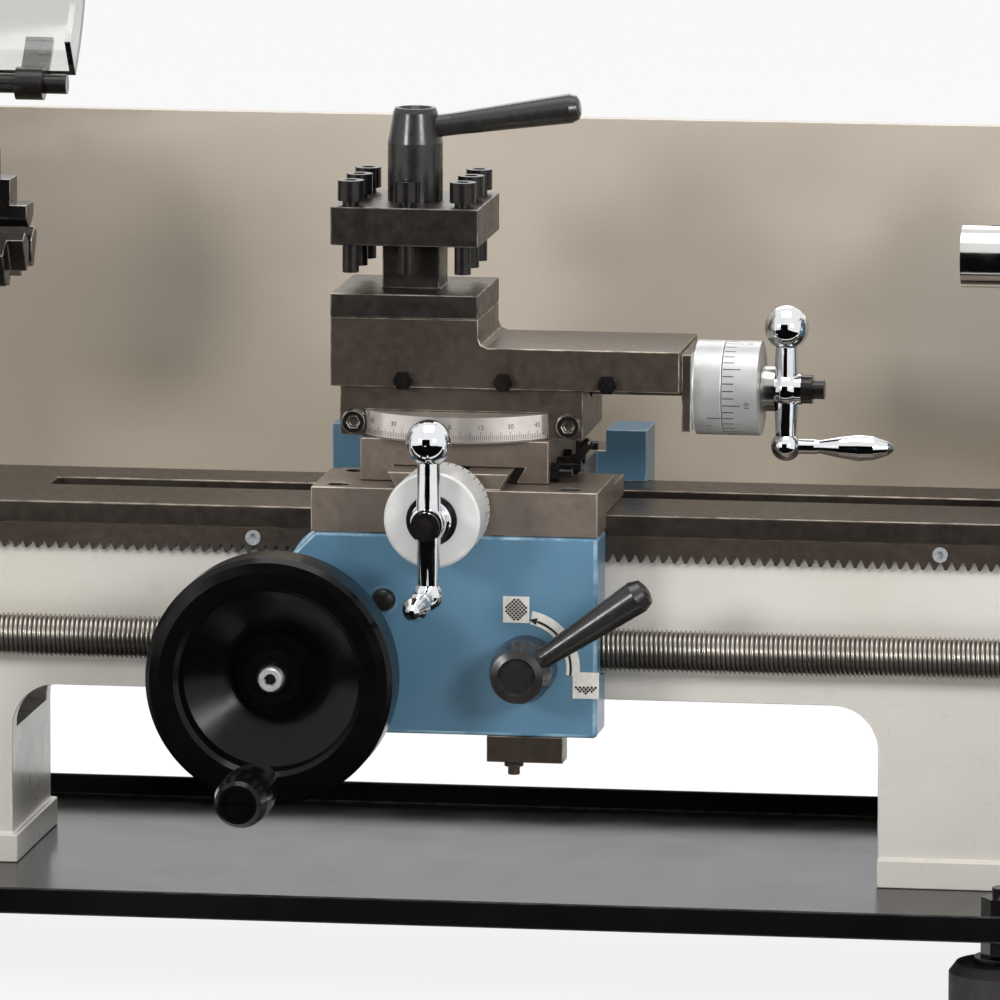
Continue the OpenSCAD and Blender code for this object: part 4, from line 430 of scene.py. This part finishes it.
def saddleRegion(where, normal):                     # the rear ears are painted blue; the pockets are darkened: painted shade, with oil
    own = saddleParts
    inPocket = any(math.hypot(where.x - x, where.y - y) < own["pocketRadius"] for x, y in own["pockets"])
    # pockets take the dark finish: painted shade, with oil
    if inPocket and where.z < own["wingTop"]:
        return 2
    out = abs(where.x - own["middle"])
    ear = where.z > own["wingTop"] + 0.1 and out > own["earOut"]
    wingFront = where.y < own["wingFront"] and normal.y < -0.5 and out > own["wingOut"]
    wingSide = abs(normal.x) > 0.5 and out > own["wingSide"]
    return 1 if where.y > own["painted"] and (ear or wingFront or wingSide) else 0


def compoundRegion(where, normal):                   # heads of the clamp screws
    return 1 if where.y < compoundParts["screwHeads"] else 0


def topSlideRegion(where, normal):                   # index sleeve, then the post stud
    return 1 if where.x > topSlideParts["indexSleeve"] else 2 if where.z > topSlideParts["postStud"] else 0


easedNodes = [                                       # node, edge radius in mm, finishes, their regions
    ("bed_casting", 0.8, ["creamCastEnamel", "groundWay"], bedRegion),
    ("headstock_casting", 1.5, ["creamCastEnamel"], None),
    ("screw_brackets", 1.0, ["creamCastEnamel"], None),
    ("gear_cover", 1.2, ["blueCastEnamel"], None),
    ("apron", 1.6, ["blueCastEnamel"], None),
    ("tailstock_body", 1.4, ["blueCastEnamel"], None),
    ("tailstock_base", 0.8, ["groundIron"], None),
    ("saddle", 0.5, ["saddleIron", "blueCastEnamel", "rootShadeAndOil"], saddleRegion),
    ("saddle_keeper", 0.5, ["oiledIron"], None),
    ("cross_slide", 0.5, ["saddleIron"], None),
    ("compound_base", 0.5, ["oiledIron", "blackScrew"], compoundRegion),
    ("top_slide", 0.5, ["oiledIron", "anodisedAluminium", "groundSteel"], topSlideRegion),
    ("tool_post", 0.6, ["blackOxide"], None),
    ("chuck_body", 0.8, ["groundSteel"], None),
    ("chuck_jaw_1", 0.4, ["hardenedSteel"], None),
    ("chuck_jaw_2", 0.4, ["hardenedSteel"], None),
    ("chuck_jaw_3", 0.4, ["hardenedSteel"], None),
    ("half_nut_stop", 0.4, ["oiledIron"], None),
    ("control_panel", 0.6, ["panelFilm"], None),
    ("chip_tray", 0.8, ["blackTrayEnamel"], None),
    ("splash_guard", 0.4, ["creamSheetEnamel"], None),
]
for node, width, materials, pick in easedNodes:
    easedPiece(node, width, materials, pick)
print("castings and blocks dressed:", len(easedNodes))


# Headstock cover: the folded sheet with its two long bevels closed
cover = {"bevel": 5.66, "edge": 0.8}


def closedCover():
    low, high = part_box("headstock_cover")
    bevel = cover["bevel"] * mm
    outline = [(low.y, low.z), (high.y, low.z), (high.y, high.z - bevel), (high.y - bevel, high.z),
               (low.y + bevel, high.z), (low.y, high.z - bevel)]
    bm = bmesh.new()
    left, right = [[bm.verts.new((x, y, z)) for y, z in outline] for x in (low.x, high.x)]
    bm.faces.new(left)
    bm.faces.new(right)
    for k in range(len(outline)):
        n = (k + 1) % len(outline)
        bm.faces.new((left[k], left[n], right[n], right[k]))
    bmesh.ops.recalc_face_normals(bm, faces=bm.faces)
    eased = set(easeEdges(bm, cover["edge"]))
    for face in bm.faces:
        face.material_index = 1 if face in eased else 0
    makePiece("headstock_coverDressed", bm, "bed", ["blueCastEnamel", "blueCastEnamelEdge"],
              replaces=("headstock_cover",))


closedCover()
print("headstock cover closed")


# Graduations: one Geometry Nodes group sets marks round an axis, along local X
marksGroup = None
inkLift = 0.03                                       # mm that print stands off a surface, and marks sink in


def buildMarksGroup():
    tree = bpy.data.node_groups.new("marksRoundAxis", "GeometryNodeTree")
    tree.interface.new_socket("Geometry", in_out="OUTPUT", socket_type="NodeSocketGeometry")
    for name, kind in (("Count", "Int"), ("Long Every", "Int"), ("Radius", "Float"), ("Start", "Float"),
                       ("Step", "Float"), ("Short", "Float"), ("Long", "Float"), ("Width", "Float"),
                       ("Depth", "Float"), ("Finish", "Material")):
        tree.interface.new_socket(name, in_out="INPUT", socket_type="NodeSocket" + kind)
    given = tree.nodes.new("NodeGroupInput").outputs

    def maths(operation, first, second=0.0):
        return addNode(tree, "ShaderNodeMath", {"operation": operation}, n0=first, n1=second).outputs[0]

    index = addNode(tree, "GeometryNodeInputIndex").outputs[0]
    angle = maths("ADD", given["Start"], maths("MULTIPLY", index, given["Step"]))
    isLong = maths("LESS_THAN", maths("MODULO", index, given["Long Every"]), 0.5)
    length = maths("ADD", given["Short"],
                   maths("MULTIPLY", isLong, maths("SUBTRACT", given["Long"], given["Short"])))
    place = addNode(tree, "ShaderNodeCombineXYZ", X=maths("MULTIPLY", length, 0.5),
                    Y=maths("MULTIPLY", given["Radius"], maths("COSINE", angle)),
                    Z=maths("MULTIPLY", given["Radius"], maths("SINE", angle)))
    points = addNode(tree, "GeometryNodeMeshLine", Count=given["Count"])
    points = addNode(tree, "GeometryNodeSetPosition", Geometry=points.outputs[0], Position=place.outputs[0])
    bar = addNode(tree, "GeometryNodeMeshCube", Size=(1, 1, 1))
    turn = addNode(tree, "ShaderNodeCombineXYZ", X=angle)
    scale = addNode(tree, "ShaderNodeCombineXYZ", X=length, Y=given["Depth"], Z=given["Width"])
    marks = addNode(tree, "GeometryNodeInstanceOnPoints", Points=points.outputs[0], Instance=bar.outputs[0],
                    Rotation=turn.outputs[0], Scale=scale.outputs[0])
    solid = addNode(tree, "GeometryNodeRealizeInstances", Geometry=marks.outputs[0])
    inked = addNode(tree, "GeometryNodeSetMaterial", Geometry=solid.outputs[0], Material=given["Finish"])
    out = tree.nodes.new("NodeGroupOutput")
    tree.links.new(inked.outputs[0], out.inputs[0])
    return tree


def ringOfMarks(name, body, slot, material, origin, axis, up, settings):
    # origin: machine mm; axis: the drum's axis; up: where angle 0 points
    global marksGroup
    marksGroup = marksGroup or buildMarksGroup()
    carrier = bpy.data.objects.new(name, bpy.data.meshes.new(name))
    bpy.context.scene.collection.objects.link(carrier)
    maker = carrier.modifiers.new("marks", "NODES")
    maker.node_group = marksGroup
    given = {**settings, "Finish": finish[material]}
    for socket in marksGroup.interface.items_tree:
        if socket.in_out == "INPUT":
            maker[socket.identifier] = given[socket.name]
    mesh = bpy.data.meshes.new_from_object(carrier.evaluated_get(bpy.context.evaluated_depsgraph_get()))
    carrier.modifiers.remove(maker)
    x, y = Vector(axis), Vector(up)
    mesh.transform(Matrix((x, y, x.cross(y))).transposed().to_4x4())
    mesh.transform(Matrix.Translation(at(*origin)))
    carrier.data = mesh
    mesh.name = name
    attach(carrier, body)


def numberOnDrum(bm, text, height, origin, axis, up, radius, angle, along, way=1):
    # a plain number wrapped round a drum, written along the rim
    # way: 1 with its head along the axis, -1 against it
    font = bpy.data.curves.new("number", "FONT")
    font.body, font.size, font.align_x, font.align_y = text, height, "CENTER", "CENTER"
    font.resolution_u = 3
    holder = bpy.data.objects.new("number", font)
    bpy.context.scene.collection.objects.link(holder)
    flat = bpy.data.meshes.new_from_object(holder.evaluated_get(bpy.context.evaluated_depsgraph_get()))
    bpy.data.objects.remove(holder)
    x, y = Vector(axis), Vector(up)
    z = x.cross(y)
    made = []
    out = (radius + inkLift) * mm
    for vert in flat.vertices:
        turn = angle + way * vert.co.x / (radius * mm)
        made.append(bm.verts.new(at(*origin) + x * (along * mm + way * vert.co.y)
                                 + (y * math.cos(turn) + z * math.sin(turn)) * out))
    for polygon in flat.polygons:
        face = bm.faces.new([made[i] for i in polygon.vertices])
        face.normal_update()
        middle = face.calc_center_median() - at(*origin)
        if face.normal.dot(middle - x * middle.dot(x)) < 0:
            face.normal_flip()
    bpy.data.meshes.remove(flat)


def addBlock(bm, low, high):                         # a block between two corners in machine mm
    low, high = at(*low), at(*high)
    bmesh.ops.create_cube(bm, size=1, matrix=Matrix.Translation((low + high) / 2)
                          @ Matrix.Diagonal((*(high - low), 1)))


def addTurned(bm, origin, axis, profile, segments=48, index=0):
    # revolves (along, radius) points in mm round an axis; the first and last points lie on it
    axis = Vector(axis)
    side = axis.orthogonal().normalized()
    other = axis.cross(side)
    rings = []
    for along, radius in profile:
        if radius < 1e-6:
            rings.append([bm.verts.new(at(*origin) + axis * along * mm)])
            continue
        rings.append([bm.verts.new(at(*origin) + axis * along * mm
                                   + (side * math.cos(a) + other * math.sin(a)) * radius * mm)
                      for a in (2 * math.pi * k / segments for k in range(segments))])
    made = []
    for lower, upper in zip(rings, rings[1:]):
        for k in range(segments):
            n = (k + 1) % segments
            corners = [lower[k % len(lower)], lower[n % len(lower)],
                       upper[n % len(upper)], upper[k % len(upper)]]
            corners = [c for i, c in enumerate(corners) if c not in corners[:i]]
            made.append(bm.faces.new(corners))
    for face in made:
        face.material_index = index
    bmesh.ops.recalc_face_normals(bm, faces=made)


# Graduated parts: 40 divisions on each dial, degrees on the swivel disc
dials = {
    "top": {"body": "top_crank", "origin": (98.9, -26, 51.1), "axis": (1, 0, 0), "up": (0, -1, 0),
            "radius": 19.75, "start": math.radians(15), "labels": ("10", "20", "30", "0")},
    "cross": {"body": "cross_crank", "origin": (-13, -81.4, 5), "axis": (0, -1, 0), "up": (0, 0, 1),
              "radius": 20, "start": 0.0, "labels": ("0", "10", "20", "30")},
}
dialScale = {"Count": 40, "Long Every": 5, "Step": math.radians(9), "Short": 4.6 * mm, "Long": 7.4 * mm,
             "Width": 0.42 * mm, "Depth": 0.1 * mm}
dialNumbers = {"height": 3.2 * mm, "along": 10.2, "every": 10}
topIndex = {"origin": (92.2, -26, 51.1), "start": math.radians(33)}
indexScale = {**dialScale, "Count": 2, "Long Every": 2, "Step": math.radians(14), "Short": 1.6 * mm,
              "Long": 5.9 * mm}
disc = {"origin": (-11.4, -22, 32.3), "radius": 49, "start": math.radians(-50), "height": 2.9 * mm,
        "along": 5.6, "labelEvery": 15, "labels": range(-3, 4)}
discScale = {**dialScale, "Count": 101, "Step": math.radians(1), "Short": 2.2 * mm, "Long": 3.6 * mm,
             "Width": 0.22 * mm}


def scaleOn(radius, start, scale):                   # a scale's settings on a drum of this radius
    return {**scale, "Radius": (radius - inkLift) * mm, "Start": start}


def dressDial(name):
    dial = dials[name]
    where = (dial["origin"], dial["axis"], dial["up"])
    ringOfMarks(name + "DialMarks", dial["body"], "aluminium", "blackInk", *where,
                scaleOn(dial["radius"], dial["start"], dialScale))
    bm = bmesh.new()
    for k, label in enumerate(dial["labels"]):
        angle = dial["start"] + k * dialNumbers["every"] * dialScale["Step"]
        numberOnDrum(bm, label, dialNumbers["height"], *where, dial["radius"], angle,
                     dialNumbers["along"], way=-1)
    makePiece(name + "DialNumbers", bm, dial["body"], ["blackInk"])


def dressTopIndex():                                 # two lines on the sleeve beside the top dial
    dial = dials["top"]
    ringOfMarks("topIndexMark", "top_slide", "aluminium", "blackInk", topIndex["origin"], dial["axis"],
                dial["up"], scaleOn(dial["radius"], topIndex["start"], indexScale))


def dressDisc():
    where = (disc["origin"], (0, 0, 1), (0, -1, 0))
    ringOfMarks("swivelMarks", "cross_slide", "chrome", "blackInk", *where,
                scaleOn(disc["radius"], disc["start"], discScale))
    bm = bmesh.new()
    for k in disc["labels"]:
        degrees = k * disc["labelEvery"]
        numberOnDrum(bm, str(abs(degrees)), disc["height"], *where, disc["radius"], math.radians(degrees),
                     disc["along"])
    makePiece("swivelNumbers", bm, "cross_slide", ["blackInk"])


dressDial("top")
dressTopIndex()
dressDial("cross")
dressDisc()
print("graduations made")


# Lead screw: a rolled thread between two plain collars; gear and journals stay as in the CAD
screw = {"y": -57, "z": fromFrame(centre("lead_screw")).z, "from": -307.7, "to": 297.7, "crest": 9.0,
         "root": 7.9, "pitch": 2.0, "steps": 20,     # steps in one turn
         "flanks": (0.34, 0.66),                     # the root's sides, in pitches
         "collar": 3.0, "collarEdge": 0.6, "inCollar": 1}


def dressLeadScrew():
    first, last, crestRadius, rootRadius = screw["from"], screw["to"], screw["crest"], screw["root"]
    pitch, turn, collar, edge = screw["pitch"], screw["steps"], screw["collar"], screw["collarEdge"]
    axis = (screw["y"], screw["z"])
    bm = mergedCopy("lead_screw")
    bare = []
    for face in bm.faces:
        p = fromFrame(face.calc_center_median())
        reach = max(math.hypot(q.y - axis[0], q.z - axis[1]) for q in (fromFrame(v.co) for v in face.verts))
        if first - 0.5 < p.x < last + 0.5 and reach > crestRadius - 1:
            bare.append(face)
    bmesh.ops.delete(bm, geom=bare, context="FACES")
    for face in bm.faces:
        face.material_index = 1
    for start, way in ((first, 1), (last, -1)):
        profile = [(0, 0), (0, crestRadius - edge), (edge, crestRadius), (collar, crestRadius), (collar, 0)]
        addTurned(bm, (start, *axis), (way, 0, 0), profile, index=1)
    count = int(((last - first - 2 * collar) / pitch + 1) * turn)
    crest, near, far = [], [], []                    # the crest and both sides of the root, darkened: painted shade, with oil
    nearShift, farShift = screw["flanks"]
    rails = ((crest, 0, crestRadius), (near, nearShift, rootRadius), (far, farShift, rootRadius))
    for k in range(count):
        a = 2 * math.pi * k / turn
        x = first + collar - pitch + k / turn * pitch
        for rail, shift, r in rails:
            spot = min(max(x + shift * pitch, first + screw["inCollar"]), last - screw["inCollar"])
            rail.append(bm.verts.new(at(spot, axis[0] + r * math.cos(a), axis[1] + r * math.sin(a))))
    for k in range(count - 1):
        bm.faces.new((crest[k], near[k], near[k + 1], crest[k + 1]))
        # the root takes the dark finish: painted shade, with oil
        bm.faces.new((near[k], far[k], far[k + 1], near[k + 1])).material_index = 2
        if k + turn + 1 < count:
            bm.faces.new((far[k], crest[k + turn], crest[k + turn + 1], far[k + 1]))
    makePiece("leadScrewThreaded", bm, "lead_screw", ["threadSteel", "groundSteel", "rootShadeAndOil"],
              replaces=("lead_screw",), degrees=50)


dressLeadScrew()
print("lead screw threaded")


# Cranks: bright chrome arms and balls, black cap nuts
def colourRegions(node, materials, pick):            # a CAD node keeps its shape; its regions take a finish
    mesh = cadNodes[node].data
    mesh.materials.clear()
    for material in materials:
        mesh.materials.append(finish[material])
    for polygon in mesh.polygons:
        polygon.material_index = pick(fromFrame(polygon.center))


# Places in machine mm: the axis of each, then where its black cap nut or its steel hub begins
crossCrank = {"x": -13, "z": 5, "nutFrom": -124.7, "shaftTo": -110}
topCrank = {"y": -26, "z": 51.1, "nutFrom": 129.4, "shaftTo": 119}
nutRadius = 7
carriageWheel = {"x": -78, "z": -61, "boltRadius": 6.1, "hubFrom": -77}
tailWheel = {"y": 0, "z": 105, "hubRadius": 12.1, "hubTo": 314.2}


def fromAxis(p, part):                               # how far a point is from the axis of a part
    return math.hypot(*(getattr(p, key) - part[key] for key in "xyz" if key in part))


def crossCrankRegion(p):
    inNut = p.y < crossCrank["nutFrom"] and fromAxis(p, crossCrank) < nutRadius
    return 1 if inNut else 2 if p.y > crossCrank["shaftTo"] else 0


def topCrankRegion(p):
    inNut = p.x > topCrank["nutFrom"] and fromAxis(p, topCrank) < nutRadius
    return 1 if inNut else 2 if p.x < topCrank["shaftTo"] else 0


def carriageWheelRegion(p):
    inBolt = fromAxis(p, carriageWheel) < carriageWheel["boltRadius"]
    return 1 if inBolt or p.y > carriageWheel["hubFrom"] else 0


def tailWheelRegion(p):
    return 1 if fromAxis(p, tailWheel) < tailWheel["hubRadius"] and p.x < tailWheel["hubTo"] else 0


colourRegions("cross_crank", ["chromePlate", "blackScrew", "groundSteel"], crossCrankRegion)
colourRegions("top_crank", ["chromePlate", "blackScrew", "groundSteel"], topCrankRegion)
colourRegions("handwheel", ["blackPhenolic", "groundSteel"], carriageWheelRegion)
colourRegions("tail_handwheel", ["blackPhenolic", "groundSteel"], tailWheelRegion)


# Small turned parts on wheels and apron; every profile is (out from the face, radius) in mm
apronFace = -78.0
turnedParts = {                                      # body, slot, place; finish, depth, profile, segments
    "wheelScrew": ("handwheel", "steel", (carriageWheel["x"], -121, carriageWheel["z"]), [
        ("zincPlate", 0, [(0, 0), (0, 4.9), (2.6, 4.9), (3.2, 4.3), (3.2, 2.7), (2.9, 2.5), (1.2, 2.5),
                          (1.2, 0)], 36),
        ("blackScrew", 1.1, [(0, 0), (0, 2.45), (0.4, 2.45), (0.4, 0)], 6)]),
    "crankHub": ("cross_crank", "chrome", (crossCrank["x"], -109.9, crossCrank["z"]), [
        ("blackScrew", 0, [(0, 0), (0, 10.6), (0.8, 10.6), (1.2, 10.2), (1.2, 8.6), (0.9, 0)], 48),
        ("chromePlate", 0.8, [(0, 0), (0, 8.5), (2.2, 8.5), (2.8, 7.9), (2.8, 0)], 48)]),
    "apronPlug": ("carriage", "black_plastic", (-38, apronFace, -34), [
        ("blackNylon", 0, [(-2.6, 0), (-2.6, 4.3), (0.2, 4.4), (1.0, 3.8), (1.5, 2.4), (1.7, 0)], 36)]),
}
for name, (body, slot, (x, y, z), layers) in turnedParts.items():
    bm = bmesh.new()
    for index, (material, out, profile, segments) in enumerate(layers):
        addTurned(bm, (x, y - out, z), (0, -1, 0), profile, segments, index)
    makePiece(name, bm, body, [layer[0] for layer in layers])
print("cranks and wheels dressed")


# Apron marks: a whole and a half nut, and the arc between them, as thin printed plates
plates = {"thick": 0.25, "square": 11, "whole": (17.7, -36.4), "half": (46.9, -67.5),
          "arc": (20.3, -60.6), "radius": 21.3, "width": 5.6, "turn": (80, -8),  # degrees, from the X axis
          "arrowHead": 76, "check": 0.82, "checkHalf": 0.66, "print": (0.05, -0.04)}


# A flat prism from X and Z points, between two Y planes
def addOutline(bm, points, near, far, index=0):
    back = [bm.verts.new(at(x, near, z)) for x, z in points]
    front = [bm.verts.new(at(x, far, z)) for x, z in points]
    made = [bm.faces.new(back), bm.faces.new(front)]
    for k in range(len(points)):
        n = (k + 1) % len(points)
        made.append(bm.faces.new((back[k], back[n], front[n], front[k])))
    for face in made:
        face.material_index = index
    bmesh.ops.recalc_face_normals(bm, faces=made)


def arcStrip(middle, inner, outer, start, stop, steps=18):
    turns = [math.radians(start + (stop - start) * k / steps) for k in range(steps + 1)]
    rim = [(middle[0] + outer * math.cos(a), middle[1] + outer * math.sin(a)) for a in turns]
    return rim + [(middle[0] + inner * math.cos(a), middle[1] + inner * math.sin(a)) for a in reversed(turns)]


def onArc(angle):                                    # a point on the middle of the arrow's line
    r = plates["radius"] - 1
    return plates["arc"][0] + r * math.cos(angle), plates["arc"][1] + r * math.sin(angle)


def isCheck(i, j, x, z, whole):                      # the nut's checks fill a disc, or half a ring
    if (i + j) % 2:
        return False
    if whole:
        return math.hypot(x, z) <= 4.5
    return z <= -0.4 and 1.9 <= math.hypot(x, z - 1.6) <= 4.9


def buildApronMarks():
    bm = bmesh.new()
    top = apronFace - plates["thick"]
    below, above = (top + step for step in plates["print"])
    half = plates["square"] / 2
    for x, z in (plates["whole"], plates["half"]):
        square = [(x - half, z - half), (x + half, z - half), (x + half, z + half), (x - half, z + half)]
        addOutline(bm, square, apronFace, top)
    r, w, (start, stop) = plates["radius"], plates["width"], plates["turn"]
    addOutline(bm, arcStrip(plates["arc"], r - w / 2, r + w / 2, start, stop), apronFace, top + inkLift)
    addOutline(bm, arcStrip(plates["arc"], r - 1.5, r - 0.5, start - 8, stop), below, above, 1)
    head = math.radians(plates["arrowHead"])
    tip, (x, z) = onArc(head + 0.11), onArc(head - 0.06)
    addOutline(bm, [tip, (x + 0.35, z + 1.5), (x - 0.35, z - 1.5)], below, above - 0.01, 1)
    d = plates["checkHalf"]
    for middle, whole in ((plates["whole"], True), (plates["half"], False)):
        for i in range(-5, 6):
            for j in range(-5, 6):
                x, z = i * plates["check"], j * plates["check"]
                if isCheck(i, j, x, z, whole):
                    x, z = x + middle[0], z + middle[1]
                    addOutline(bm, [(x - d, z), (x, z - d), (x + d, z), (x, z + d)], below, above, 1)
    makePiece("apronMarks", bm, "carriage", ["whiteInk", "blackInk"])


buildApronMarks()


# Panel marks: a scale round the speed knob, rings round the buttons, and the light line in the knob's slot
panel = {"knob": (-422, 56), "print": (-78.95, -79.12),
         "ticks": 11, "from": 225, "step": -27, "radius": 18, "short": 3, "long": 4.5, "half": 0.35,
         "rings": [((-326, 70), 21), ((-326, 36), 10)], "ringWidth": 1.2,  # middle and inner radius of each
         "lineFrom": (-0.55, -96.3, 1), "lineTo": (0.55, -95.15, 11.6)}   # X and Z from the knob's middle


def buildPanelMarks():
    bm = bmesh.new()
    knobX, knobZ = panel["knob"]
    half = panel["half"]
    for k in range(panel["ticks"]):
        a = math.radians(panel["from"] + panel["step"] * k)
        inner = panel["radius"]
        outer = inner + (panel["long"] if k % 5 == 0 else panel["short"])
        tick = [(knobX + r * math.cos(a) + side * math.sin(a), knobZ + r * math.sin(a) - side * math.cos(a))
                for r, side in ((inner, half), (outer, half), (outer, -half), (inner, -half))]
        addOutline(bm, tick, *panel["print"])
    for middle, r in panel["rings"]:
        addOutline(bm, arcStrip(middle, r, r + panel["ringWidth"], 0, 359.9, 60), *panel["print"])
    makePiece("panelMarks", bm, "bed", ["whiteInk"])
    bm = bmesh.new()
    addBlock(bm, *[(knobX + x, y, knobZ + z) for x, y, z in (panel["lineFrom"], panel["lineTo"])])
    makePiece("knobLine", bm, "speed_knob", ["whiteInk"])


buildPanelMarks()
print("marks printed")


# Stage: pale floor, white surroundings, soft boxes and the camera
studio = {                                           # metres and degrees
    "lookAt": (0.0711, -0.001, 0.1974),              # what stands in the middle of the photograph
    "azimuth": 8.13, "elevation": 8.56, "roll": 0.2,
    "distance": 4.449, "lens": 380.7,
    "surround": 0.38,                                # light of the white surroundings on matt surfaces
    "floorHalf": 14, "paper": ("#f6f6f5", "#efefee"), "fibreMm": 3,
    "paperGlow": 1.08, "glowShare": 0.8,             # how far the paper glows where it is seen
    "softBoxes": [                                   # name, azimuth and elevation, distance, size, watts
        ("keyBox", (36, 17), 2.0, 0.42, 13),
        ("fillBox", (-33, 15), 2.0, 0.36, 11),
        ("topBox", (8, 80), 1.9, 1.3, 17),
        ("backBox", (190, 38), 2.2, 1.2, 12),
    ],
}


def aim(azimuth, elevation):
    a, e = math.radians(azimuth), math.radians(elevation)
    return Vector((math.sin(a) * math.cos(e), -math.cos(a) * math.cos(e), math.sin(e)))


def seenDirectly(tree):                              # 1 to the camera, a mirror or glass, 0 to a matt face
    path = addNode(tree, "ShaderNodeLightPath")
    either = addNode(tree, "ShaderNodeMath", {"operation": "ADD"}, n0=path.outputs["Is Camera Ray"],
                     n1=path.outputs["Is Glossy Ray"])
    return addNode(tree, "ShaderNodeMath", {"operation": "ADD", "use_clamp": True}, n0=either.outputs[0],
                   n1=path.outputs["Is Transmission Ray"]).outputs[0]


def buildSurround():
    world = bpy.data.worlds.new("whiteSurround")
    bpy.context.scene.world = world
    world.use_nodes = True
    tree = world.node_tree
    background = tree.nodes["Background"]
    background.inputs["Color"].default_value = (1, 1, 1, 1)
    strength = addNode(tree, "ShaderNodeMapRange", n0=seenDirectly(tree), n3=studio["surround"], n4=1.0)
    tree.links.new(strength.outputs[0], background.inputs["Strength"])


def buildFloor():
    bm = bmesh.new()
    bmesh.ops.create_grid(bm, x_segments=1, y_segments=1, size=studio["floorHalf"])
    mesh = bpy.data.meshes.new("paleFloor")
    bm.to_mesh(mesh)
    bm.free()
    floor = bpy.data.objects.new("paleFloor", mesh)
    bpy.context.scene.collection.objects.link(floor)
    material = bpy.data.materials.new("paperSweep")  # matt white paper: lit where seen, keeps the shadow
    material.use_nodes = True
    tree = material.node_tree
    shader = tree.nodes["Principled BSDF"]
    shader.inputs["Roughness"].default_value = 0.9
    place = addNode(tree, "ShaderNodeTexCoord").outputs["Object"]
    fibre = addNode(tree, "ShaderNodeTexNoise", Vector=place, Scale=everyMm(studio["fibreMm"]), Detail=3.0)
    light, dark = studio["paper"]
    tone = addNode(tree, "ShaderNodeMix", {"data_type": "RGBA"}, n0=fibre.outputs[0],
                   n6=hexColour(light), n7=hexColour(dark))
    tree.links.new(tone.outputs[2], shader.inputs["Base Color"])
    glow = addNode(tree, "ShaderNodeEmission", Color=(1, 1, 1, 1), Strength=studio["paperGlow"])
    share = addNode(tree, "ShaderNodeMath", {"operation": "MULTIPLY"}, n0=seenDirectly(tree),
                    n1=studio["glowShare"])
    mix = addNode(tree, "ShaderNodeMixShader", n0=share.outputs[0], n1=shader.outputs[0], n2=glow.outputs[0])
    tree.links.new(mix.outputs[0], tree.nodes["Material Output"].inputs["Surface"])
    mesh.materials.append(material)


def buildFlag(name, corners):                        # a black card that only reflections see
    mesh = bpy.data.meshes.new(name)
    mesh.from_pydata([Vector(c) for c in corners], [], [(0, 1, 2, 3)])
    card = bpy.data.objects.new(name, mesh)
    bpy.context.scene.collection.objects.link(card)
    material = bpy.data.materials.new("blackVelvet")
    material.use_nodes = True
    shader = material.node_tree.nodes["Principled BSDF"]
    shader.inputs["Base Color"].default_value = hexColour("#0a0a0a")
    shader.inputs["Roughness"].default_value = 1.0
    shader.inputs["Specular IOR Level"].default_value = 0.0
    mesh.materials.append(material)
    card.visible_camera = card.visible_diffuse = card.visible_transmission = card.visible_shadow = False


def buildLights():
    target = Vector(studio["lookAt"])
    for name, direction, distance, width, watts in studio["softBoxes"]:
        lamp = bpy.data.lights.new(name, "AREA")
        lamp.shape, lamp.size, lamp.energy = "SQUARE", width, watts
        box = bpy.data.objects.new(name, lamp)
        bpy.context.scene.collection.objects.link(box)
        box.location = target + aim(*direction) * distance
        box.rotation_euler = (-aim(*direction)).to_track_quat("-Z", "Y").to_euler()


def buildCamera():
    camera = bpy.data.objects.new("camera", bpy.data.cameras.new("camera"))
    bpy.context.scene.collection.objects.link(camera)
    camera.data.sensor_width, camera.data.lens = 36, studio["lens"]
    camera.data.clip_start, camera.data.clip_end = 0.1, 60
    back = aim(studio["azimuth"], studio["elevation"])
    camera.location = Vector(studio["lookAt"]) + back * studio["distance"]
    turn = (-back).to_track_quat("-Z", "Y").to_matrix().to_4x4()
    camera.rotation_euler = (turn @ Matrix.Rotation(math.radians(studio["roll"]), 4, "Z")).to_euler()
    bpy.context.scene.camera = camera


buildSurround()
buildFloor()
buildFlag("frontFlag", [(-1.5, -3.4, 0.01), (0.9, -3.4, 0.01), (0.9, -3.4, 1.6), (-1.5, -3.4, 1.6)])
buildFlag("floorFlag", [(-1.1, -3.4, 0.01), (0.9, -3.4, 0.01), (0.9, -0.2, 0.01), (-1.1, -0.2, 0.01)])
buildLights()
buildCamera()
bpy.context.scene.view_settings.view_transform = "Standard"
print("stage built")
